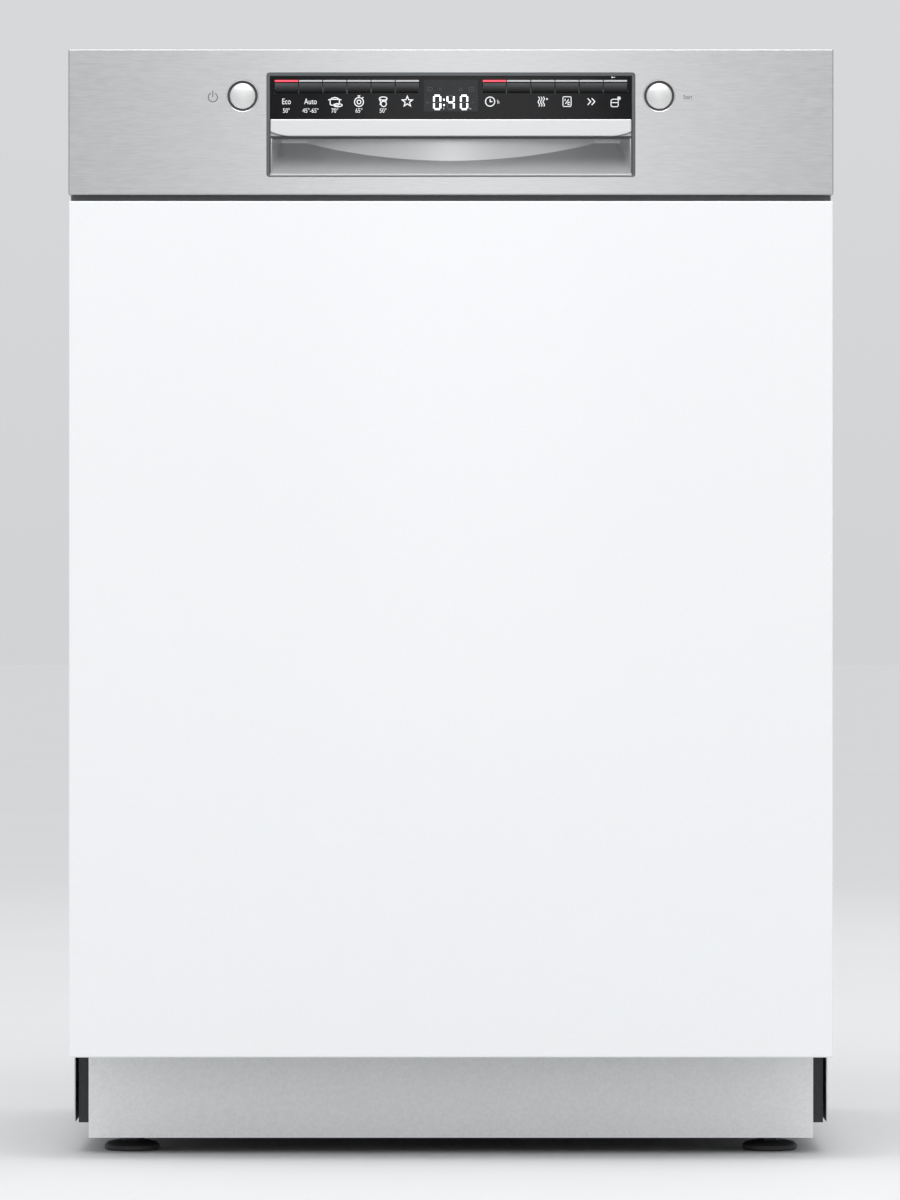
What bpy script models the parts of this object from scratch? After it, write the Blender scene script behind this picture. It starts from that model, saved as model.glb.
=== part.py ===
"""Built-in dishwasher, 60 cm class, with a visible steel control fascia and a furniture board on its door.

Metres, +Z up. The front faces -Y, and the origin is on the floor under the middle of the machine.
Each object is one physical piece. Objects that move hang on an empty that stands on their joint's axis.
"""

import math

import bmesh
import bpy
from mathutils import Matrix, Vector

# ---- driving dimensions -------------------------------------------------------------------------
WIDTH = 0.598  # over the side panels and the fascia
HEIGHT = 0.875  # floor to the top of the front crossbar
DEPTH = 0.573  # fascia face to the rearmost point
BUTTON_PROUD = 0.0012  # how far the round buttons stand in front of the fascia
FRONT_Y = -(DEPTH + BUTTON_PROUD) / 2 + BUTTON_PROUD  # face of the fascia and of the board
BACK_Y = FRONT_Y + DEPTH
CLEAR = 0.0004  # gap between pieces that touch
SHEET = 0.0008  # sheet steel

# Control fascia and the window in it
FASCIA_TOP = HEIGHT - 0.005
FASCIA_HEIGHT = 0.114
FASCIA_BOTTOM = FASCIA_TOP - FASCIA_HEIGHT
FRONT_THICK = 0.019  # fascia returns and furniture board alike
WINDOW_HALF = 0.1440
WINDOW_TOP = FASCIA_TOP - 0.0184
WINDOW_BOTTOM = WINDOW_TOP - 0.0816
BEZEL = 0.0028
INSERT_HALF = WINDOW_HALF - BEZEL  # key panel, handle bar and grip cup
KEY_PANEL_TOP = WINDOW_TOP - BEZEL
KEY_PANEL_BOTTOM = 0.8152
BAR_BOTTOM = 0.8020
CUP_TOP = 0.8003
CUP_BOTTOM = WINDOW_BOTTOM + 0.0013

# Buttons and keys
ROUND_X = 0.1628
ROUND_Z = FASCIA_TOP - 0.0365
ROUND_RADIUS = 0.0104
ROUND_HOLE = 0.0119
KEY_COUNT = 6
KEY_PITCH = 0.0189
KEY_FIRST_X = 0.0246  # inner edge of each group of keys, from the middle
KEY_WIDTH = 0.0182
KEY_HEIGHT = 0.0077
KEY_Z = 0.8398

# Furniture board
BOARD_WIDTH = 0.597
BOARD_TOP = FASCIA_BOTTOM - 0.0047
BOARD_BOTTOM = 0.082

# Door
SKIN_Y = FRONT_Y + FRONT_THICK + CLEAR  # front of the door's outer sheet
LINER_Y = -0.2340  # face of the liner that looks into the tub
LINER_HALF = 0.2868
LINER_BOTTOM = 0.1225
LINER_TOP = 0.8660
FIELD_DRAW = 0.0080  # how far the liner's field is drawn towards the front
HINGE_Y = -0.2550
HINGE_Z = 0.1220

# Tub
TUB_HALF = 0.2710
TUB_FRONT = -0.2275
TUB_BACK = 0.2570
TUB_FLOOR = 0.1300
TUB_TOP = 0.8500
LEDGE_TOP = 0.1430  # the lower rack's wheels run on it
LEDGE_INNER = 0.2480
FLANGE_HALF = 0.2905
FLANGE_TOP = 0.8660
FLANGE_BOTTOM = 0.1180
ARM_Y = (TUB_FRONT + TUB_BACK) / 2  # axis of both spray arms

# Wires of the racks
WIRE = 0.0018
RIM_WIRE = 0.0026
WELD = 0.0006  # how far crossing wires bite into each other
RACK_FRONT = -0.1890
RACK_BACK = 0.2140

# Base
TRAY_BOTTOM = 0.0240
TRAY_TOP = 0.1285
TRAY_HALF = 0.2960
TRAY_FRONT = -0.1920
TRAY_BACK = 0.2800
TRAY_WALL = 0.0025
FOOT_X = 0.2550
FOOT_FRONT_Y = -0.1600
FOOT_REAR_Y = 0.2450
SPINDLE = 0.0050
SIDE_BACK = 0.2850

FINE = 32  # sides of a round piece that is seen closely
COARSE = 20


# ---- scene and helpers --------------------------------------------------------------------------
def clear_scene():
    for obj in list(bpy.data.objects):
        bpy.data.objects.remove(obj, do_unlink=True)


def new_collection(name):
    collection = bpy.data.collections.new(name)
    bpy.context.scene.collection.children.link(collection)
    return collection


clear_scene()
MACHINE = new_collection("built_in_dishwasher")
HELPERS = new_collection("cutters")


def make_material(name, colour, roughness, metallic=0.0):
    material = bpy.data.materials.new(name)
    material.use_nodes = True
    shader = material.node_tree.nodes["Principled BSDF"]
    shader.inputs["Base Color"].default_value = (*colour, 1.0)
    shader.inputs["Roughness"].default_value = roughness
    shader.inputs["Metallic"].default_value = metallic
    return material


BRUSHED = make_material("brushed_steel", (0.62, 0.62, 0.63), 0.32, 1.0)
STAINLESS = make_material("stainless", (0.58, 0.59, 0.60), 0.25, 1.0)
ZINC = make_material("galvanised_steel", (0.50, 0.52, 0.54), 0.45, 1.0)
SPRING_STEEL = make_material("spring_steel", (0.30, 0.30, 0.31), 0.40, 1.0)
SILVER = make_material("silver_plastic", (0.72, 0.72, 0.73), 0.30, 0.6)
GREY_SILVER = make_material("grey_silver_plastic", (0.36, 0.36, 0.37), 0.35, 0.4)
BLACK_GLOSS = make_material("black_gloss_plastic", (0.012, 0.012, 0.013), 0.12)
BLACK_MATTE = make_material("black_plastic", (0.03, 0.03, 0.032), 0.55)
DARK_GREY = make_material("dark_grey_plastic", (0.09, 0.09, 0.095), 0.45)
WHITE_LACQUER = make_material("white_lacquer", (0.86, 0.87, 0.88), 0.30)
WHITE_PLASTIC = make_material("white_plastic", (0.78, 0.78, 0.76), 0.45)
GREY_PLASTIC = make_material("grey_plastic", (0.42, 0.43, 0.45), 0.50)
COATED_WIRE = make_material("coated_wire", (0.55, 0.56, 0.58), 0.40)
RUBBER = make_material("rubber", (0.05, 0.05, 0.055), 0.75)
FLEECE = make_material("fleece", (0.58, 0.57, 0.55), 0.95)
PALE_SHEET = make_material("pale_coated_sheet", (0.80, 0.81, 0.82), 0.45)


def place(obj, material, collection=MACHINE):
    for old in list(obj.users_collection):
        old.objects.unlink(obj)
    collection.objects.link(obj)
    if material is not None:
        obj.data.materials.clear()
        obj.data.materials.append(material)
    return obj


def helper(obj):
    """Makes obj a cutter or a piece that a Boolean takes in."""
    place(obj, None, HELPERS)
    obj.hide_render = True
    obj.display_type = "WIRE"
    return obj


def object_from(name, bm, location=(0, 0, 0)):
    mesh = bpy.data.meshes.new(name)
    bmesh.ops.recalc_face_normals(bm, faces=bm.faces)
    bm.to_mesh(mesh)
    bm.free()
    obj = bpy.data.objects.new(name, mesh)
    obj.location = location
    return obj


def smooth(obj, angle=math.radians(35)):
    obj.data.shade_smooth()
    obj.data.set_sharp_from_angle(angle=angle)
    return obj


def bevel(obj, width, segments=2, angle=math.radians(40)):
    modifier = obj.modifiers.new("Bevel", "BEVEL")
    modifier.width = width
    modifier.segments = segments
    modifier.limit_method = "ANGLE"
    modifier.angle_limit = angle
    return obj


def block(name, low, high, material=None):
    """A box between two corners."""
    low, high = Vector(low), Vector(high)
    bm = bmesh.new()
    bmesh.ops.create_cube(bm, size=1.0)
    bmesh.ops.scale(bm, vec=high - low, verts=bm.verts)
    obj = object_from(name, bm, (low + high) / 2)
    return place(obj, material)


def rod(name, start, end, radius, material=None, sides=COARSE, end_radius=None):
    """A round bar, or a cone, from start to end."""
    start, end = Vector(start), Vector(end)
    bm = bmesh.new()
    bmesh.ops.create_cone(
        bm,
        cap_ends=True,
        segments=sides,
        radius1=radius,
        radius2=radius if end_radius is None else end_radius,
        depth=(end - start).length,
    )
    obj = object_from(name, bm, (start + end) / 2)
    obj.rotation_mode = "QUATERNION"
    obj.rotation_quaternion = (end - start).to_track_quat("Z", "Y")
    return smooth(place(obj, material))


def turned(name, centre, profile, material=None, steps=FINE):
    """A solid turned about Z from (radius, height) points: its outer side, top to bottom, then its inner side.
    A profile that starts and ends on the axis stays open, and any other is closed into a ring."""
    bm = bmesh.new()
    verts = [bm.verts.new((radius, 0, height)) for radius, height in profile]
    pairs = list(zip(verts, verts[1:]))
    if profile[0][0] > 0:
        pairs.append((verts[-1], verts[0]))
    for pair in pairs:
        bm.edges.new(pair)
    mesh = bpy.data.meshes.new(name)
    bm.to_mesh(mesh)
    bm.free()
    obj = bpy.data.objects.new(name, mesh)
    obj.location = centre
    screw = obj.modifiers.new("Screw", "SCREW")
    screw.axis = "Z"
    screw.steps = screw.render_steps = steps
    screw.use_merge_vertices = True
    screw.merge_threshold = 0.00001
    screw.use_smooth_shade = True
    return place(obj, material)


def flat_piece(name, outline, thickness, centre, rotation, material=None):
    """A flat piece: a closed outline of (u, v) points, filled and extruded, then turned into place."""
    curve = bpy.data.curves.new(name, "CURVE")
    curve.dimensions = "2D"
    curve.fill_mode = "BOTH"
    curve.extrude = thickness / 2
    spline = curve.splines.new("POLY")
    spline.points.add(len(outline) - 1)
    for point, (u, v) in zip(spline.points, outline):
        point.co = (u, v, 0, 1)
    spline.use_cyclic_u = True
    obj = bpy.data.objects.new(name, curve)
    obj.location = centre
    obj.rotation_euler = rotation
    return as_mesh(place(obj, material), material)


def as_mesh(obj, material=None):
    """Turns a curve object into a mesh object with its caps welded."""
    bpy.context.view_layer.update()
    graph = bpy.context.evaluated_depsgraph_get()
    mesh = bpy.data.meshes.new_from_object(obj.evaluated_get(graph))
    bm = bmesh.new()
    bm.from_mesh(mesh)
    bmesh.ops.remove_doubles(bm, verts=bm.verts, dist=0.000005)
    bmesh.ops.recalc_face_normals(bm, faces=bm.faces)
    bm.to_mesh(mesh)
    bm.free()
    made = bpy.data.objects.new(obj.name + "_mesh", mesh)
    made.matrix_world = obj.matrix_world.copy()
    name, collection = obj.name, obj.users_collection[0]
    bpy.data.objects.remove(obj, do_unlink=True)
    made.name = name
    collection.objects.link(made)
    return place(made, material, collection)


def wire(name, points, radius, closed=False, sides_step=1, material=None):
    """A round wire through the points. sides_step 1 gives it six sides and 2 gives eight."""
    curve = bpy.data.curves.new(name, "CURVE")
    curve.dimensions = "3D"
    curve.bevel_depth = radius
    curve.bevel_resolution = sides_step
    curve.use_fill_caps = True
    spline = curve.splines.new("POLY")
    spline.points.add(len(points) - 1)
    for point, place_of in zip(spline.points, points):
        point.co = (*place_of, 1)
    spline.use_cyclic_u = closed
    obj = bpy.data.objects.new(name, curve)
    place(obj, None)
    return as_mesh(obj, material)


def boolean(obj, other, operation):
    modifier = obj.modifiers.new(operation.title(), "BOOLEAN")
    modifier.operation = operation
    modifier.solver = "EXACT"
    modifier.object = helper(other)
    return obj


def cut(obj, *cutters):
    for cutter in cutters:
        boolean(obj, cutter, "DIFFERENCE")
    return obj


def join(obj, *others):
    for other in others:
        boolean(obj, other, "UNION")
    return obj


def join_many(obj, others):
    """One union of obj with many pieces at once, which is how a rack's wires are welded."""
    group = bpy.data.collections.new(obj.name + "_joined")
    HELPERS.children.link(group)
    for other in others:
        place(other, None, group)
        other.hide_render = True
        other.display_type = "WIRE"
    modifier = obj.modifiers.new("Union", "BOOLEAN")
    modifier.operation = "UNION"
    modifier.solver = "EXACT"
    modifier.operand_type = "COLLECTION"
    modifier.collection = group
    return obj


def open_box(name, low, high, wall, open_side, material=None):
    """A box with walls of that thickness and one open side, such as "+Z" or "-Y"."""
    inner_low, inner_high = [v + wall for v in low], [v - wall for v in high]
    axis = "XYZ".index(open_side[1])
    if open_side[0] == "+":
        inner_high[axis] = high[axis] + 2 * wall
    else:
        inner_low[axis] = low[axis] - 2 * wall
    return cut(block(name, low, high, material), block(name + "_inside", inner_low, inner_high))


def pivot(name, location, *children):
    """An empty on a joint's axis, with the pieces that the joint moves hung on it."""
    empty = bpy.data.objects.new(name, None)
    empty.location = location
    empty.empty_display_size = 0.02
    MACHINE.objects.link(empty)
    for child in children:
        child.parent = empty
        child.matrix_parent_inverse = Matrix.Translation(location).inverted()
    return empty


def mirrored(x, side):
    """The x range of a piece given for the right-hand side, on that side."""
    return sorted((x[0] * side, x[1] * side))


SIDES = (("left", -1), ("right", 1))


# ---- tub ----------------------------------------------------------------------------------------
def tub():
    """Drawn steel tub: walls with a ledge for the rack's wheels, a back, and a flange round its mouth."""
    corner_radius = 0.018
    inner = [
        (-TUB_HALF, TUB_TOP),
        (TUB_HALF, TUB_TOP),
        (TUB_HALF, LEDGE_TOP),
        (LEDGE_INNER, LEDGE_TOP),
        (LEDGE_INNER, TUB_FLOOR),
        (-LEDGE_INNER, TUB_FLOOR),
        (-LEDGE_INNER, LEDGE_TOP),
        (-TUB_HALF, LEDGE_TOP),
    ]
    outer = [
        (-FLANGE_HALF, FLANGE_TOP),
        (FLANGE_HALF, FLANGE_TOP),
        (FLANGE_HALF, LEDGE_TOP),
        (FLANGE_HALF, FLANGE_BOTTOM),
        (LEDGE_INNER, FLANGE_BOTTOM),
        (-LEDGE_INNER, FLANGE_BOTTOM),
        (-FLANGE_HALF, FLANGE_BOTTOM),
        (-FLANGE_HALF, LEDGE_TOP),
    ]
    bm = bmesh.new()
    front = [bm.verts.new((x, TUB_FRONT, z)) for x, z in inner]
    back = [bm.verts.new((x, TUB_BACK, z)) for x, z in inner]
    flange = [bm.verts.new((x, TUB_FRONT, z)) for x, z in outer]
    count = len(inner)
    for i in range(count):
        j = (i + 1) % count
        bm.faces.new((front[i], front[j], back[j], back[i]))
        bm.faces.new((flange[i], flange[j], front[j], front[i]))
    bm.faces.new(back)
    bm.edges.ensure_lookup_table()
    rounded = [e for e in bm.edges if {v for v in e.verts} in ({front[0], back[0]}, {front[1], back[1]})]
    bmesh.ops.bevel(
        bm, geom=rounded, offset=corner_radius, segments=4, affect="EDGES", profile=0.5
    )
    bmesh.ops.recalc_face_normals(bm, faces=bm.faces)
    obj = place(object_from("tub", bm), STAINLESS)
    # The wall grows away from the wash chamber, whichever way the normals ended up.
    ceiling = max(obj.data.polygons, key=lambda f: f.center.z * (abs(f.normal.z) > 0.9) * (f.area > 0.1))
    wall = obj.modifiers.new("Solidify", "SOLIDIFY")
    wall.thickness = SHEET
    wall.offset = 1.0 if ceiling.normal.z > 0 else -1.0
    wall.use_even_offset = True
    sump_hole = rod(
        "tub_sump_hole", (SUMP_X, SUMP_Y, 0.10), (SUMP_X, SUMP_Y, 0.14), SUMP_HOLE, sides=FINE
    )
    return cut(obj, sump_hole)


SUMP_X, SUMP_Y = 0.028, -0.018
SUMP_HOLE = 0.1050
FILTER_X, FILTER_Y = 0.058, -0.056
FILTER_RADIUS = 0.0340


def sump():
    """Moulded bowl under the tub's hole, with a stub to each pump."""
    rim = 0.1285
    wall = 0.0030
    bowl = [
        (0.1120, rim),
        (0.1120, rim - wall),
        (0.1040, rim - 2 * wall),
        (0.0620, 0.0600),
        (0.0, 0.0520),
    ]
    inside = [
        (0.0, 0.0520 + wall),
        (0.0600, 0.0600 + wall),
        (0.1010, rim - 2 * wall),
        (0.1030, rim),
    ]
    obj = turned("sump", (SUMP_X, SUMP_Y, 0), bowl + inside, BLACK_MATTE)
    obj.data.clear_geometry()
    obj.modifiers.clear()
    return fill_turned(obj, bowl, inside)


def fill_turned(obj, outside, inside):
    """Gives obj a turned shell whose outer and inner sides both end on the axis."""
    bm = bmesh.new()
    verts = [bm.verts.new((radius, 0, height)) for radius, height in outside]
    verts += [bm.verts.new((radius, 0, height)) for radius, height in inside]
    split = len(outside)
    for i in range(len(verts) - 1):
        if i != split - 1:
            bm.edges.new((verts[i], verts[i + 1]))
    bm.edges.new((verts[-1], verts[0]))
    bm.to_mesh(obj.data)
    bm.free()
    screw = obj.modifiers.new("Screw", "SCREW")
    screw.steps = screw.render_steps = FINE
    screw.use_merge_vertices = True
    screw.merge_threshold = 0.00001
    screw.use_smooth_shade = True
    return obj


def pumps():
    """Circulation pump with its heater ring to the right of the sump, drain pump to its left."""
    axis_z = 0.0740
    start = SUMP_X + 0.1000
    circulation = rod(
        "circulation_pump", (start, SUMP_Y, axis_z), (start + 0.0650, SUMP_Y, axis_z), 0.0380, GREY_PLASTIC
    )
    motor = rod("pump_motor", (start + 0.0600, SUMP_Y, axis_z), (start + 0.1250, SUMP_Y, axis_z), 0.0300)
    outlet = rod("pump_outlet", (start + 0.0300, SUMP_Y, axis_z), (start + 0.0300, SUMP_Y + 0.0600, axis_z), 0.0110)
    intake = rod("pump_intake", (start - 0.0170, SUMP_Y, axis_z), (start + 0.0050, SUMP_Y, axis_z), 0.0120)
    join(circulation, motor, outlet, intake)
    far = SUMP_X - 0.0920
    drain = rod("drain_pump", (far, SUMP_Y, 0.0600), (far - 0.0350, SUMP_Y, 0.0600), 0.0260, WHITE_PLASTIC)
    stator = block("drain_stator", (far - 0.0700, SUMP_Y - 0.0180, 0.0400), (far - 0.0300, SUMP_Y + 0.0180, 0.0780))
    join(drain, stator)
    return circulation, drain


def filters():
    """Perforated steel plate over the sump, and the micro filter that twists out of it."""
    plate_bottom = TUB_FLOOR + CLEAR
    plate = turned(
        "filter_plate",
        (SUMP_X, SUMP_Y, 0),
        [(0.0, plate_bottom + 0.0012), (0.1120, plate_bottom + 0.0012), (0.1120, plate_bottom), (0.0, plate_bottom)],
        STAINLESS,
    )
    hub = rod("arm_hub_stub", (0, ARM_Y, plate_bottom + 0.0005), (0, ARM_Y, 0.1570), 0.0190, sides=COARSE)
    pin = rod("arm_pin", (0, ARM_Y, 0.1500), (0, ARM_Y, 0.1745), 0.0080, sides=COARSE)
    nut = rod("arm_nut", (0, ARM_Y, 0.1732), (0, ARM_Y, 0.1780), 0.0130, sides=COARSE)
    join(plate, hub, pin, nut)
    hole = rod(
        "micro_filter_hole", (FILTER_X, FILTER_Y, 0.12), (FILTER_X, FILTER_Y, 0.14), FILTER_RADIUS + 0.0008, sides=FINE
    )
    cut(plate, hole)
    micro = turned(
        "micro_filter",
        (FILTER_X, FILTER_Y, 0),
        [
            (0.0, 0.1400),
            (0.0300, 0.1400),
            (0.0300, 0.1380),
            (FILTER_RADIUS, 0.1360),
            (FILTER_RADIUS, 0.1080),
            (0.0220, 0.1060),
            (0.0220, 0.0860),
            (0.0, 0.0860),
        ],
        GREY_PLASTIC,
        COARSE,
    )
    grip = block(
        "micro_filter_grip",
        (FILTER_X - 0.0240, FILTER_Y - 0.0030, 0.1380),
        (FILTER_X + 0.0240, FILTER_Y + 0.0030, 0.1520),
    )
    join(micro, grip)
    pivot("micro_filter_axis", (FILTER_X, FILTER_Y, 0.1380), micro)
    return plate, micro


def salt_cap():
    """Screw cap of the softener's salt container, in the tub's floor."""
    x, y = -0.1700, -0.0700
    base = TUB_FLOOR + CLEAR
    cap = turned(
        "salt_cap",
        (x, y, 0),
        [(0.0, 0.1420), (0.0290, 0.1420), (0.0320, 0.1400), (0.0320, base), (0.0, base)],
        GREY_PLASTIC,
        24,
    )
    grip = block("salt_cap_grip", (x - 0.0210, y - 0.0035, 0.1410), (x + 0.0210, y + 0.0035, 0.1530))
    join(cap, grip)
    pivot("salt_cap_axis", (x, y, 0.1400), cap)
    return cap


def spray_arm(name, centre, radius, bottom, height, bore):
    """Two flat blades swept slightly apart, on a ring that turns on a pin."""
    x, y = centre
    root_half, tip_half = 0.0280, 0.0170
    outline = []
    for side in (1, -1):
        # One blade: a root, a rounded tip.
        outline.append((side * 0.0200, -side * root_half))
        for step in range(7):
            angle = -math.pi / 2 + math.pi * step / 6
            outline.append(
                (
                    side * (radius - tip_half + tip_half * math.cos(angle)),
                    side * tip_half * math.sin(angle),
                )
            )
        outline.append((side * 0.0200, side * root_half))
    arm = flat_piece(name, outline, height, (x, y, bottom + height / 2), (0, 0, 0), GREY_PLASTIC)
    bevel(arm, 0.0030, 2)
    ring = rod(name + "_hub", (x, y, bottom - 0.0004), (x, y, bottom + height + 0.0040), 0.0225)
    join(arm, ring)
    cut(arm, rod(name + "_bore", (x, y, bottom - 0.02), (x, y, bottom + 0.04), bore))
    pivot(name + "_axis", (x, y, bottom), arm)
    return arm


def water_riser():
    """Flat duct up the tub's back wall and along its ceiling, with the port that feeds the upper rack's arm."""
    half = 0.0150
    duct = block("water_riser", (-half, 0.2380, 0.1360), (half, TUB_BACK - 0.0015, 0.8460), WHITE_PLASTIC)
    along = block("ceiling_duct", (-half, ARM_Y - 0.0200, 0.8320), (half, 0.2400, 0.8460))
    port = rod("rack_port", (0, 0.2390, 0.4920), (0, 0.2320, 0.4920), 0.0110, sides=COARSE, end_radius=0.0085)
    join(duct, along, port)
    return bevel(duct, 0.0020, 2)


def ceiling_sprayer():
    return turned(
        "ceiling_sprayer",
        (0, ARM_Y, 0),
        [(0.0, 0.8314), (0.0150, 0.8314), (0.0200, 0.8260), (0.0330, 0.8180), (0.0330, 0.8130), (0.0, 0.8080)],
        GREY_PLASTIC,
        24,
    )


# ---- racks and rails ----------------------------------------------------------------------------
RAIL_Z = 0.5560
RAIL_FRONT, RAIL_BACK = -0.2150, 0.2200
SLIDE_HALF_TRAVEL = 0.2150


def rail(side_name, side):
    """Fixed channel of the telescopic rail, open towards the rack."""
    low_x, high_x = 0.2560, 0.2704
    x = mirrored((low_x, high_x), side)
    channel = block(
        "rail_" + side_name, (x[0], RAIL_FRONT, RAIL_Z - 0.0150), (x[1], RAIL_BACK, RAIL_Z + 0.0150), ZINC
    )
    inside = mirrored((low_x - 0.01, high_x - 0.0015), side)
    return cut(
        channel,
        block(
            "rail_inside_" + side_name,
            (inside[0], RAIL_FRONT - 0.01, RAIL_Z - 0.0135),
            (inside[1], RAIL_BACK - 0.0020, RAIL_Z + 0.0135),
        ),
    )


def rail_slide(side_name, side):
    """Middle member of the rail: a smaller channel that travels half as far as the rack."""
    low_x, high_x = 0.2500, 0.2680
    x = mirrored((low_x, high_x), side)
    member = block(
        "rail_slide_" + side_name,
        (x[0], RAIL_FRONT + 0.0030, RAIL_Z - 0.0120),
        (x[1], RAIL_BACK - 0.0100, RAIL_Z + 0.0120),
        STAINLESS,
    )
    groove = mirrored((low_x + 0.0020, high_x + 0.01), side)
    cutter = block(
        "rail_slide_groove_" + side_name,
        (groove[0], RAIL_FRONT + 0.0200, RAIL_Z - 0.0095),
        (groove[1], RAIL_BACK, RAIL_Z + 0.0095),
    )
    return cut(member, cutter)


def basket_wires(name, half, floor_z, front_rim, back_rim, crosswise, lengthwise, draft=0.0040):
    """The wires of an open basket: rims, U-shaped wires across and U-shaped wires along."""
    front, back = RACK_FRONT, RACK_BACK
    below = 2 * WIRE - WELD
    step_y = -0.0500  # where the side rim drops from the back's height to the front's
    rim = [
        (-half, front, front_rim),
        (half, front, front_rim),
        (half, step_y - 0.06, front_rim),
        (half, step_y, back_rim),
        (half, back, back_rim),
        (-half, back, back_rim),
        (-half, step_y, back_rim),
        (-half, step_y - 0.06, front_rim),
    ]
    rims = [wire(name, rim, RIM_WIRE, closed=True, sides_step=2)]
    made = []
    first, last = front + 0.0400, back - 0.0300
    for i in range(crosswise):
        y = first + (last - first) * i / (crosswise - 1)
        share = min(1.0, max(0.0, (y - step_y + 0.06) / 0.06))
        top = front_rim + (back_rim - front_rim) * share
        inner = half - draft
        path = [(-half, y, top), (-inner, y, floor_z), (inner, y, floor_z), (half, y, top)]
        made.append(wire(f"{name}_across_{i}", path, WIRE))
    edge = half - draft - 0.0030
    for i in range(lengthwise):
        x = -edge + 2 * edge * i / (lengthwise - 1)
        low = floor_z - below
        path = [(x, front, front_rim), (x, front + draft, low), (x, back - draft, low), (x, back, back_rim)]
        made.append(wire(f"{name}_along_{i}", path, WIRE))
    return rims[0], made, edge


LOWER_FLOOR = 0.1920
LOWER_HALF = 0.2440
WHEEL_RADIUS = 0.0160
WHEEL_YS = (-0.1000, 0.0200, 0.1400)


def lower_rack():
    """Plate rack: coated wires, two rows of tines and its wheels on their brackets."""
    obj, made, edge = basket_wires("lower_rack", LOWER_HALF, LOWER_FLOOR, 0.2720, 0.3060, 5, 9)
    for row, x in enumerate((-edge / 4, -3 * edge / 4)):
        for i in range(5):
            y = RACK_FRONT + 0.0750 + 0.0640 * i
            base = (x, y, LOWER_FLOOR - 2 * WIRE)
            made.append(wire(f"tine_{row}_{i}", [base, (x + 0.0080, y + 0.0060, 0.2600)], WIRE))
    axle_z = LEDGE_TOP + CLEAR + WHEEL_RADIUS
    for side_name, side in SIDES:
        for i, y in enumerate(WHEEL_YS):
            x = mirrored((edge - 0.0040, 0.2512), side)
            made.append(
                block(f"wheel_bracket_{side_name}_{i}", (x[0], y - 0.0090, axle_z - 0.0070), (x[1], y + 0.0090, 0.2020))
            )
            made.append(
                rod(
                    f"wheel_{side_name}_{i}",
                    (side * 0.2505, y, axle_z),
                    (side * 0.2605, y, axle_z),
                    WHEEL_RADIUS,
                    sides=COARSE,
                )
            )
    join_many(obj, made)
    return place(obj, COATED_WIRE)


def cutlery_basket():
    """Moulded basket with slotted walls and a carrying handle, standing in the lower rack."""
    low = (0.1560, -0.1500, LOWER_FLOOR + WIRE + CLEAR)
    high = (0.2280, 0.0700, 0.3080)
    basket = open_box("cutlery_basket", low, high, 0.0022, "+Z", GREY_PLASTIC)
    for i in range(5):
        y = low[1] + 0.0220 + 0.0440 * i
        slot = block(f"basket_slot_{i}", (low[0] - 0.01, y - 0.0120, 0.2150), (high[0] + 0.01, y + 0.0120, 0.2900))
        cut(basket, slot)
    middle = (low[0] + high[0]) / 2
    handle = block(
        "basket_handle", (middle - 0.0040, low[1] + 0.0010, 0.2500), (middle + 0.0040, high[1] - 0.0010, 0.3850)
    )
    window = block(
        "basket_handle_window", (middle - 0.02, low[1] + 0.0140, 0.2400), (middle + 0.02, high[1] - 0.0140, 0.3720)
    )
    cut(handle, window)
    return join(basket, handle)


UPPER_FLOOR = 0.5020
UPPER_HALF = 0.2340


def upper_rack():
    """Cup rack with its rail brackets, the feed duct under it and the pin that carries its spray arm."""
    obj, made, edge = basket_wires("upper_rack", UPPER_HALF, UPPER_FLOOR, 0.6060, 0.6340, 5, 9)
    for side_name, side in SIDES:
        for y in (-0.1300, 0.1650):
            x = mirrored((UPPER_HALF - 0.0030, 0.2494), side)
            made.append(
                block(f"rack_bracket_{side_name}_{y}", (x[0], y - 0.0300, RAIL_Z - 0.0110), (x[1], y + 0.0300, RAIL_Z + 0.0110))
            )
    made.append(block("feed_duct", (-0.0140, ARM_Y - 0.0100, 0.4850), (0.0140, 0.2300, 0.4985)))
    made.append(rod("feed_hub", (0, ARM_Y, 0.4765), (0, ARM_Y, 0.4980), 0.0200))
    made.append(rod("feed_pin", (0, ARM_Y, 0.4580), (0, ARM_Y, 0.4800), 0.0080))
    made.append(rod("feed_nut", (0, ARM_Y, 0.4560), (0, ARM_Y, 0.4600), 0.0130))
    join_many(obj, made)
    return place(obj, COATED_WIRE)


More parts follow.
